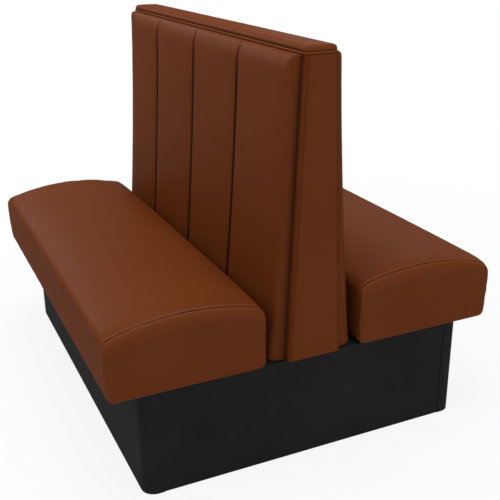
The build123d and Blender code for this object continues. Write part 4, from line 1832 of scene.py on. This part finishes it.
@dataclass
class Studio:
    """The camera, the white floor and the soft light."""

    camera_place: tuple[float, float, float] = (-0.92457, -2.21659, 1.30635)
    yaw: float = 24.855
    pitch: float = 21.406
    roll: float = -0.507
    lens: float = 58.8
    sensor: float = 36.0
    world_level: float = 0.36
    floor_reach: float = 60.0
    floor_drop: float = 0.0005
    floor_tone: float = 0.8
    cover_near: float = 0.86
    cover_span: tuple[float, float] = (0.9, 2.6)
    cover_hidden: float = 0.05
    hidden: tuple[float, float] = (0.445, 0.588)
    lamps: tuple[Lamp, ...] = (
        Lamp("right_side", (3.6, 1.0, 2.2), (0.2, 0.0, 0.5), (2.0, 1.6), 14.0),
        Lamp("overhead", (-0.1, -0.4, 4.2), (0.0, 0.0, 0.3), (2.1, 2.1), 92.0),
        Lamp("rear_left", (-1.5, 3.5, 2.4), (0.0, 0.0, 0.9), (2.2, 1.0), 60.0),
        Lamp("rear_right", (2.6, 3.0, 2.0), (0.35, -0.2, 0.45), (1.8, 1.2), 18.0),
        Lamp("front_fill", (-0.3, -4.2, 2.4), (0.0, 0.0, 0.8), (3.0, 2.0), 22.0),
        Lamp("right_fill", (2.1, -3.8, 0.7), (0.0, -0.6, 0.9), (1.4, 1.4), 20.0),
        Lamp("left_fill", (-2.9, -1.0, 3.1), (-0.1, 0.0, 0.75), (2.2, 2.0), 27.0),
    )

    def build(self) -> None:
        """Sets the studio up."""
        self.build_camera()
        self.build_world()
        self.build_floor()
        for lamp in self.lamps:
            lamp.build()
        bpy.context.scene.view_settings.view_transform = "Standard"
        log.info("studio is set")

    def build_camera(self) -> None:
        """Places the camera where the photograph was taken from."""
        yaw, pitch, roll = (math.radians(angle) for angle in (self.yaw, self.pitch, self.roll))
        level = math.cos(pitch)
        ahead = Vector((math.sin(yaw) * level, math.cos(yaw) * level, -math.sin(pitch)))
        right = Vector((math.cos(yaw), -math.sin(yaw), 0.0))
        up = right.cross(ahead)
        turned_right = right * math.cos(roll) + up * math.sin(roll)
        turned_up = up * math.cos(roll) - right * math.sin(roll)
        data = bpy.data.cameras.new("camera")
        data.sensor_width = self.sensor
        data.sensor_fit = "HORIZONTAL"
        data.lens = self.lens
        camera = bpy.data.objects.new("camera", data)
        turned = Matrix((turned_right, turned_up, -ahead)).transposed()
        camera.matrix_world = Matrix.Translation(self.camera_place) @ turned.to_4x4()
        bpy.context.scene.collection.objects.link(camera)
        bpy.context.scene.camera = camera

    def build_world(self) -> None:
        """A soft sky that the camera, and what mirrors it, see as white."""
        world = bpy.data.worlds.new("studio")
        world.use_nodes = True
        world.node_tree.nodes.clear()
        graph = Graph(world.node_tree)
        path = graph.node("ShaderNodeLightPath")
        soft = graph.node("ShaderNodeBackground")
        soft.inputs["Strength"].default_value = self.world_level
        white = graph.node("ShaderNodeBackground")
        for background in (soft, white):
            background.inputs["Color"].default_value = tone(1, 1, 1)
        choice = graph.node("ShaderNodeMixShader")
        graph.link(seen_white(graph, path), choice.inputs[0])
        graph.link(soft.outputs[0], choice.inputs[1])
        graph.link(white.outputs[0], choice.inputs[2])
        graph.link(choice.outputs[0], graph.node("ShaderNodeOutputWorld").inputs["Surface"])
        bpy.context.scene.world = world

    def build_floor(self) -> None:
        """A plain pale floor that shows white, with the booth's soft shadow on it."""
        mesh = bpy.data.meshes.new("floor")
        reach = self.floor_reach
        corners = [(-reach, -reach), (reach, -reach), (reach, reach), (-reach, reach)]
        mesh.from_pydata([(x, y, -self.floor_drop) for x, y in corners], [], [(0, 1, 2, 3)])
        floor = bpy.data.objects.new("floor", mesh)
        bpy.context.scene.collection.objects.link(floor)
        material = bpy.data.materials.new("pale_floor")
        material.use_nodes = True
        material.node_tree.nodes.clear()
        graph = Graph(material.node_tree)
        path = graph.node("ShaderNodeLightPath")
        matte = graph.node("ShaderNodeBsdfDiffuse")
        matte.inputs["Color"].default_value = tone(self.floor_tone, self.floor_tone, self.floor_tone)
        white = graph.node("ShaderNodeEmission")
        white.inputs["Strength"].default_value = 1.0
        choice = graph.node("ShaderNodeMixShader")
        cover = self.floor_cover(graph)
        graph.link(graph.math("MULTIPLY", seen_white(graph, path), cover), choice.inputs[0])
        graph.link(matte.outputs[0], choice.inputs[1])
        graph.link(white.outputs[0], choice.inputs[2])
        graph.link(choice.outputs[0], graph.node("ShaderNodeOutputMaterial").inputs["Surface"])
        mesh.materials.append(material)

    def floor_cover(self, graph: Graph) -> bpy.types.NodeSocket:
        """How white the floor shows: fully far away, less near the booth, hardly inside the plinth.

        Args:
            graph: The floor material's graph.

        Returns:
            A socket that is 1 where the floor shows white and 0 where it is only matte.
        """
        place = graph.place()
        away = graph.node("ShaderNodeVectorMath", operation="LENGTH")
        graph.link(place, away.inputs[0])
        cover = graph.span(away.outputs["Value"], *self.cover_span, self.cover_near, 1.0)
        spot = graph.node("ShaderNodeSeparateXYZ")
        graph.link(place, spot.inputs[0])
        half_width, half_length = self.hidden
        across = graph.math("ABSOLUTE", spot.outputs["X"])
        along = graph.math("ABSOLUTE", spot.outputs["Y"])
        along = graph.math("DIVIDE", along, half_length / half_width)
        inside = graph.math("LESS_THAN", graph.math("MAXIMUM", across, along), half_width)
        return graph.math("MULTIPLY", cover, graph.span(inside, 0, 1, 1.0, self.cover_hidden))


def main() -> None:
    """Builds the booth's looks and its studio."""
    logging.basicConfig(level=logging.INFO, format="%(name)s: %(message)s")
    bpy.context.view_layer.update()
    Studio().build()
    wardrobe = Wardrobe()
    wardrobe.dress_nodes()
    seat = SeatCushion(wardrobe, ClothRest(ease=0.01, push=2.5, limit=1.3))
    pad = BackPad(wardrobe, ClothRest(ease=0.004, push=1.5, limit=0.9))
    for side in Side:
        seat.build(side)
        pad.build(side)
    cover = EndBoardCover(wardrobe)
    for end in End:
        cover.build(end)
    CapPad(wardrobe).build()
    PlinthTrim(wardrobe).build()


if __name__ == "__main__":
    main()
